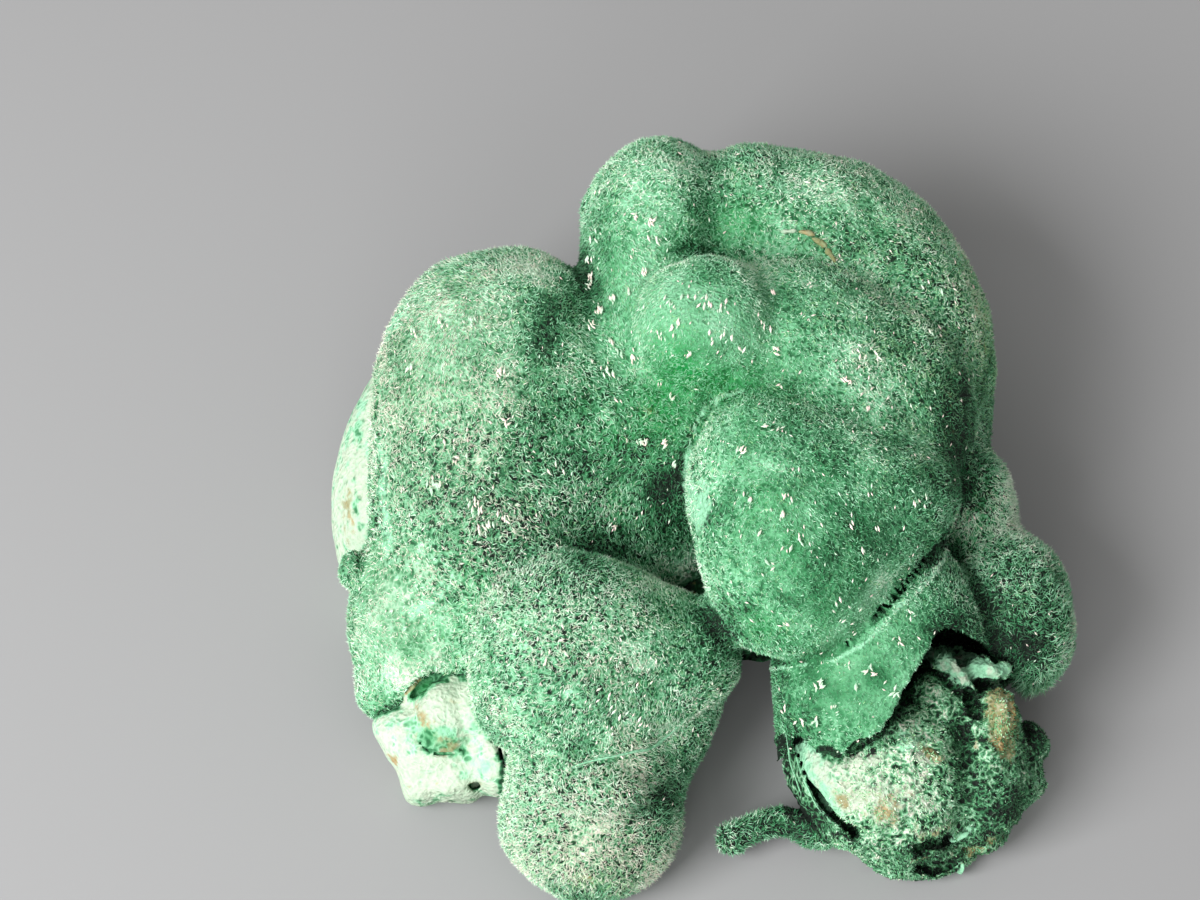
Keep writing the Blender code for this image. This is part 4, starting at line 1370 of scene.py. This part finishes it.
class MALACHITE_OT_grains(bpy.types.Operator):
    """Small crystals over the bared nodule"""
    bl_idname = "malachite.grains"
    bl_label = "Grains of the core"

    def execute(self, context):
        felt = context.scene.malachite_felt
        chance = np.random.default_rng(SEED + 2)
        surface = KEPT["bared_core"]
        area, middle, facing, _ = spread_of(surface)
        bare = soft_patches(middle, CORE_PATCHES["bare"])
        weights = (
            area * np.clip(1.1 - 1.3 * bare, 0, 1)
            * (FIELDS["velvet_crust"](*middle.T) > CLEAR) * (facing[:, 2] > -0.6)
            * (-ground(*middle.T) > BARE_FOOT))
        count = felt.core_count
        feet, ways, tone = strewn(surface, weights, count, GRAIN_LEAN, chance)
        # Grains take the nodule's tone, its painted shade included, spread by chance and by clumps.
        spread = chance.normal(size=count) + 0.8 * rough(feet, 0.9, 2)
        tones = np.clip(tone + 0.16 * spread, 0.03, 0.97)
        chalk = soft_patches(feet, CORE_PATCHES["chalk"]) + 0.3 * rough(feet, 1.5, 2)
        earth = soft_patches(feet, CORE_PATCHES["earth"]) + 0.2 * rough(feet, 1.5, 2)
        families = np.where(chance.random(count) < 0.45, ASH, COOL)
        families = np.where(chance.random(count) < 0.25 + 0.8 * chalk, CREAM, families)
        families = np.where(chance.random(count) < 0.10 + 0.8 * earth, OLIVE, families)
        tones = np.clip(tones + 0.18 * np.clip(chalk, 0, 1), 0.03, 0.97)
        mesh = needle_mesh(
            "core_grains", feet, ways, felt.core_length * chance.uniform(0.5, 1.5, count),
            felt.core_width * chance.uniform(0.6, 1.4, count), tones, families, chance)
        finished("core_grains", mesh, felt_finish(context.scene.malachite_colours))
        return {"FINISHED"}


# ---------------------------------------------------------------- seams and flecks

# Thin seams standing on the stone: route across and up with its half width, then height
# and the shares of mint, chalk and earth
SEAMS = [
    ([(-0.9, -18.7, 0.05), (-4.6, -21.7, 0.15), (-10.0, -22.6, 0.12), (-13.0, -23.4, 0.05)],
     0.14, (0.8, 0.0, 0.0)),
    ([(9.2, -22.8, 0.04), (9.9, -25.2, 0.08), (10.9, -27.4, 0.06), (11.8, -28.6, 0.03)],
     0.16, (1.0, 0.0, 0.0)),
    ([(8.2, -20.5, 0.03), (8.6, -23.5, 0.06), (9.7, -26.8, 0.04)], 0.12, (0.8, 0.0, 0.0)),
    ([(24.6, -35.6, 0.15), (25.6, -34.8, 0.34), (25.8, -33.4, 0.2)], 0.45, (1.0, 0.3, 0.0)),
    ([(24.0, -31.4, 0.1), (25.0, -30.9, 0.3), (26.2, -30.3, 0.12)], 0.35, (1.0, 0.3, 0.0)),
    ([(7.8, 28.7, 0.1), (8.3, 28.9, 0.3), (8.8, 28.6, 0.16), (9.4, 28.9, 0.24),
      (9.9, 29.0, 0.08)], 0.28, (0.6, 0.8, 0.0)),
    ([(9.6, 28.7, 0.1), (10.0, 29.0, 0.38), (10.5, 28.6, 0.22), (11.1, 28.8, 0.36),
      (11.6, 28.1, 0.12)], 0.28, (0.0, 0.6, 1.0)),
    ([(10.9, 28.1, 0.1), (11.4, 28.2, 0.34), (11.8, 27.6, 0.2), (12.3, 27.7, 0.4),
      (12.7, 26.9, 0.16)], 0.28, (0.0, 0.0, 1.4)),
    ([(12.2, 27.1, 0.1), (12.7, 27.1, 0.36), (12.8, 26.4, 0.2), (13.4, 26.2, 0.34),
      (13.5, 25.4, 0.08)], 0.24, (0.0, 0.0, 1.4)),
]
# Clusters of bright flecks: across, up, how many and how far apart
TUFTS = [
    (-25.7, 19.4, 9, 0.5), (-22.7, 19.7, 7, 0.5), (-28.2, 18.4, 7, 0.5), (-28.6, 14.9, 6, 0.4),
    (-19.6, 14.6, 6, 0.5), (-26.2, 3.8, 16, 0.8), (-22.2, 1.3, 14, 0.8), (-20.9, -0.7, 12, 0.8),
    (-19.4, 0.4, 9, 0.5), (-18.9, 9.9, 6, 0.5), (-24.0, 7.0, 6, 1.2), (-10.2, 28.2, 5, 0.5),
    (-11.1, 26.0, 5, 0.4), (-10.9, 23.7, 7, 0.7), (-10.1, 20.7, 6, 0.5), (-10.9, 19.0, 8, 0.5),
    (-8.0, 17.0, 8, 1.4), (-5.0, 29.5, 5, 0.4), (-6.5, 30.0, 4, 0.4), (-4.8, 27.7, 4, 0.4),
    (-9.4, 14.9, 6, 0.5), (-5.8, 7.8, 7, 0.5), (-3.6, 7.7, 6, 0.4), (-8.8, -0.7, 4, 0.3),
    (-3.5, 21.4, 7, 0.6), (0.2, 21.4, 8, 0.7), (1.8, 21.0, 8, 0.6), (-1.4, 16.5, 4, 0.3),
    (-2.5, 19.5, 6, 0.8), (5.7, 19.2, 5, 0.5), (7.1, 16.8, 4, 0.3), (7.4, 13.1, 3, 0.2),
    (-4.0, 18.2, 6, 0.9), (0.8, 18.6, 6, 1.0), (-1.0, 22.4, 5, 1.2), (3.0, 16.8, 5, 1.0),
    (13.8, 13.7, 4, 0.4), (15.8, 11.0, 4, 0.2), (14.4, 10.7, 2, 0.2), (15.4, 16.1, 7, 0.7),
    (10.7, 23.1, 3, 0.3), (22.5, 18.4, 3, 0.3), (27.2, 20.4, 3, 0.4), (6.8, 22.4, 3, 0.3),
    (4.3, 2.3, 3, 0.2), (7.7, 2.7, 5, 0.4), (7.3, 0.9, 3, 0.2), (8.8, -1.3, 4, 0.4),
    (13.7, 0.0, 2, 0.2), (16.2, -0.4, 2, 0.2), (14.9, -2.5, 3, 0.2), (20.0, 2.0, 2, 0.2),
    (3.5, 7.3, 5, 0.6), (7.4, 8.9, 3, 0.3), (5.8, 9.4, 3, 0.2), (-2.9, 5.4, 4, 0.3),
    (-10.7, 24.5, 3, 0.2), (-8.7, 22.5, 5, 0.5), (-7.1, 22.6, 4, 0.3), (-5.6, 24.5, 4, 0.4),
    (-6.8, 16.0, 4, 0.3), (-9.1, 14.5, 3, 0.3), (-3.0, 12.1, 4, 0.3), (-8.4, 11.7, 3, 0.3),
    (8.0, -1.0, 7, 2.2), (16.0, 14.0, 10, 2.6), (12.0, 34.0, 5, 1.6), (24.0, 24.0, 6, 2.2),
    (11.2, -15.6, 7, 0.5), (15.9, -14.2, 6, 0.5), (11.0, -19.2, 4, 0.3), (9.5, -19.4, 4, 0.3),
    (8.2, -18.2, 3, 0.3), (14.4, -15.7, 3, 0.3), (18.4, -16.2, 5, 0.6), (20.6, -14.1, 4, 0.4),
    (12.4, -17.5, 3, 0.3), (20.0, -8.8, 4, 0.4), (18.6, -11.1, 4, 0.4), (7.7, -9.4, 3, 0.3),
    (6.0, -4.0, 4, 1.0), (13.0, -8.0, 5, 1.2), (-9.0, -18.0, 8, 1.8), (-15.0, -12.0, 8, 1.8),
    (-6.0, -20.0, 6, 1.2), (-14.0, 5.0, 6, 1.6),
]


def evened(values, reach):
    """Each value's mean with its neighbours along the first axis, as many as the reach
    in all; past the ends they repeat the last one."""
    ends = reach // 2
    padded = np.concatenate([values[:1]] * ends + [values] + [values[-1:]] * ends)
    return np.mean([padded[i:i + len(values)] for i in range(reach)], axis=0)


def seam_rings(route, height, sides=8):
    """Rings along an evened and wandering route, each an ellipse across it, tapered to
    both ends, and their closed faces; the last two points are the middles of the ends."""
    apart, fewest, wander = 0.2, 10, 0.12   # mm between rings, least rings, mm aside
    route = np.array(route)
    run = np.append(0, np.cumsum(np.linalg.norm(np.diff(route[:, :2], axis=0), axis=1)))
    place = np.linspace(0, run[-1], max(fewest, int(run[-1] / apart)))
    across, up, half = (evened(np.interp(place, run, column), 5) for column in route.T)
    across = across + wander * noise(across, up, 3.0, 1.2)
    up = up + wander * noise(across, up, 9.0, 1.2)
    middle = evened(np.stack((across, up, face_of(stone, across, up)), 1), 7)
    normal = unit(evened(outwards(stone, middle, 0.8)[0], 7))
    along = unit(np.gradient(middle, axis=0))
    side = unit(np.cross(normal, along))
    share = np.linspace(0, 1, len(place))
    taper = np.clip(np.minimum(share, 1 - share) * 5, 0.12, 1) ** 0.6
    wide = half * taper * (1 + 0.5 * noise(across, up, 5.0, 0.5))
    high = height * taper * (1 + 0.4 * noise(across, up, 7.0, 0.7))
    turn = np.arange(sides) * 2 * np.pi / sides
    points = (middle[:, None] + side[:, None] * (wide[:, None] * np.cos(turn))[:, :, None]
              + normal[:, None] * (high[:, None] * np.sin(turn))[:, :, None]).reshape(-1, 3)
    count = len(place)
    ring, step = np.meshgrid(np.arange(count - 1), np.arange(sides), indexing="ij")
    a, b = ring * sides + step, ring * sides + (step + 1) % sides
    walls = np.stack((a, b, b + sides, a, b + sides, a + sides), 2).reshape(-1, 3)
    step = np.arange(sides)
    start = np.stack(((step + 1) % sides, step, np.full(sides, count * sides)), 1)
    last = (count - 1) * sides
    end = np.stack((last + step, last + (step + 1) % sides, np.full(sides, count * sides + 1)), 1)
    return np.concatenate((points, middle[:1], middle[-1:])), np.concatenate((walls, start, end))


class MALACHITE_OT_seams(bpy.types.Operator):
    """Thin mint seams and ledges, and a tan streak"""
    bl_idname = "malachite.seams"
    bl_label = "Seams"

    def execute(self, context):
        points, faces, shares, base = [], [], [], 0
        for route, height, share in SEAMS:
            ring_points, ring_faces = seam_rings(route, height)
            points.append(ring_points)
            faces.append(ring_faces + base)
            shares.append(np.tile(share, (len(ring_points), 1)))
            base += len(ring_points)
        points, faces, shares = map(np.concatenate, (points, faces, shares))
        mesh = new_mesh("mint_seams", points, faces)
        mint, chalk, earth = shares.T
        put_values(mesh, tone=0.6, mint=mint, chalk=chalk, earth=earth, vivid=0.0, ash=0.0,
                   grit=0.8)
        finish = stone_finish("mint_seam", context.scene.malachite_colours,
                              grain=0.4, contrast=0.5, roughness=0.6, bump=0.08)
        finished("mint_seams", mesh, finish)
        return {"FINISHED"}


def fleck_mesh(name, middles, normals, alongs, longs, wides):
    """Closed flecks: a long diamond of six points lying on the surface, with eight faces."""
    side = np.cross(normals, alongs)
    points = np.stack((
        middles + alongs * longs[:, None], middles + side * wides[:, None],
        middles - alongs * longs[:, None], middles - side * wides[:, None],
        middles + normals * wides[:, None], middles - normals * wides[:, None],
    ), 1).reshape(-1, 3)
    return new_mesh(name, points, repeated(FLECK, len(middles)), smooth=False)


def fleck_finish(colours):
    """Rose white, a little greener from fleck to fleck, with a silky gloss."""
    material, tree, shader = new_material("rose_flecks")
    here = put(tree, "TexCoord", {}).outputs["Object"]
    broad = put(tree, "TexNoise", {"Vector": here, "Scale": 900.0, "Detail": 2.0})
    share = eased(tree, broad.outputs[0], 0.4, 0.62)
    tree.links.new(mixed(tree, share, colours.rose, colours.pale), shader.inputs["Base Color"])
    shader.inputs["Roughness"].default_value = 0.4
    return material


class MALACHITE_OT_flecks(bpy.types.Operator):
    """Bright flecks and tufts on the velvet"""
    bl_idname = "malachite.flecks"
    bl_label = "Flecks"

    def execute(self, context):
        chance = np.random.default_rng(SEED + 3)
        across, up, number, apart = np.array(TUFTS).T
        which = np.repeat(np.arange(len(TUFTS)), number.astype(int))
        flat = np.stack((across, up), 1)[which]
        flat = flat + chance.normal(size=flat.shape) * apart[which, None] * 0.6
        tufts = np.column_stack((flat, face_of(stone, *flat.T)))
        surface = KEPT["velvet_crust"]
        area, middle, facing, open_share = spread_of(surface)
        weights = (area * stepped(facing[:, 2], 0.1, 0.6) * (open_share > 0.4)
                   * (stone(*middle.T) > -0.6))
        lone, _, _ = scatter(surface, weights, context.scene.malachite_felt.flecks, chance)
        middles = np.concatenate((tufts, lone))
        count = len(middles)
        normals, _ = outwards(stone, middles, 0.3)
        down = np.array((0, -0.8, 0))
        over = unit(combing(middles) + 0.5 * chance.normal(size=(count, 3)) + down)
        over = unit(over - normals * (over * normals).sum(1, keepdims=True))
        size = np.where(np.arange(count) < len(tufts), 1.2, 0.8) * chance.uniform(0.6, 1.3, count)
        mesh = fleck_mesh("rose_flecks", middles + normals * 0.18, normals, over,
                          0.29 * size, 0.1 * size)
        finished("rose_flecks", mesh, fleck_finish(context.scene.malachite_colours))
        return {"FINISHED"}


# ---------------------------------------------------------------- stage

# Lamps: place and size in metres, and share of the power of the key light
LAMPS = {
    "key": ((-0.35, -0.24, 0.36), 0.32, 1.0),
    "front": ((-0.1, -0.5, 0.25), 0.3, 0.25),
}
LIT = (0.0, 0.0, 0.015)      # m, what the lamps point at
SEEN = (-10.0, 7.0, -8.0)    # mm in the growth frame, the middle of the view


class MALACHITE_OT_stage(bpy.types.Operator):
    """Plain pale floor, soft lights and the camera"""
    bl_idname = "malachite.stage"
    bl_label = "Stage"

    def execute(self, context):
        stage = context.scene.malachite_stage
        scene = context.scene
        scene.view_settings.view_transform = "Standard"
        bpy.ops.mesh.primitive_plane_add(size=3.0, location=(0, 0, 0))
        floor = context.active_object
        floor.name = "floor"
        material, _, shader = new_material("floor")
        shader.inputs["Base Color"].default_value = stage.floor
        shader.inputs["Roughness"].default_value = 0.9
        floor.data.materials.append(material)
        for name, (place, size, share) in LAMPS.items():
            light = bpy.data.lights.new(name, "AREA")
            light.size = size
            light.energy = stage.key * share
            lamp = bpy.data.objects.new(name, light)
            lamp.location = place
            way = Vector(np.subtract(LIT, place))
            lamp.rotation_euler = way.to_track_quat("-Z", "Y").to_euler()
            scene.collection.objects.link(lamp)
        world = bpy.data.worlds.new("studio")
        world.use_nodes = True
        world.node_tree.nodes["Background"].inputs[0].default_value = (1.0, 0.99, 0.97, 1.0)
        world.node_tree.nodes["Background"].inputs[1].default_value = stage.fill
        scene.world = world
        lens = bpy.data.cameras.new("camera")
        lens.sensor_width = 36.0
        lens.lens = lens.sensor_width * stage.distance / stage.view_width
        lens.clip_start = 0.01
        camera = bpy.data.objects.new("camera", lens)
        camera.location = to_world(np.array([SEEN]) + (0.0, 0.0, stage.distance / MM))[0]
        camera.rotation_euler = (RECLINE, 0.0, 0.0)
        scene.collection.objects.link(camera)
        scene.camera = camera
        return {"FINISHED"}


class MALACHITE_PT_panel(bpy.types.Panel):
    """Settings and steps of the specimen"""
    bl_idname = "MALACHITE_PT_panel"
    bl_label = "Malachite"
    bl_space_type = "VIEW_3D"
    bl_region_type = "UI"
    bl_category = "Malachite"

    def draw(self, context):
        for name in SETTINGS:
            box = self.layout.box()
            box.label(text=name.split("_")[1].capitalize())
            settings = getattr(context.scene, name)
            for prop in settings.bl_rna.properties:
                if not prop.is_readonly and prop.identifier != "name":
                    box.prop(settings, prop.identifier)
        for operator in OPERATORS:
            self.layout.operator(operator.bl_idname)


SETTINGS = {
    "malachite_grain": MalachiteGrain, "malachite_felt": MalachiteFelt,
    "malachite_colours": MalachiteColours, "malachite_stage": MalachiteStage,
}
OPERATORS = (
    MALACHITE_OT_stage, MALACHITE_OT_crust, MALACHITE_OT_core, MALACHITE_OT_matrix,
    MALACHITE_OT_back, MALACHITE_OT_felt, MALACHITE_OT_grains, MALACHITE_OT_seams,
    MALACHITE_OT_flecks,
)
CLASSES = (*SETTINGS.values(), *OPERATORS, MALACHITE_PT_panel)


def register():
    for one in CLASSES:
        bpy.utils.register_class(one)
    for name, kind in SETTINGS.items():
        setattr(bpy.types.Scene, name, PointerProperty(type=kind))


def unregister():
    for name in SETTINGS:
        delattr(bpy.types.Scene, name)
    for one in reversed(CLASSES):
        bpy.utils.unregister_class(one)


def main():
    register()
    for operator in OPERATORS:
        family, name = operator.bl_idname.split(".")
        getattr(getattr(bpy.ops, family), name)()


if __name__ == "__main__":
    main()
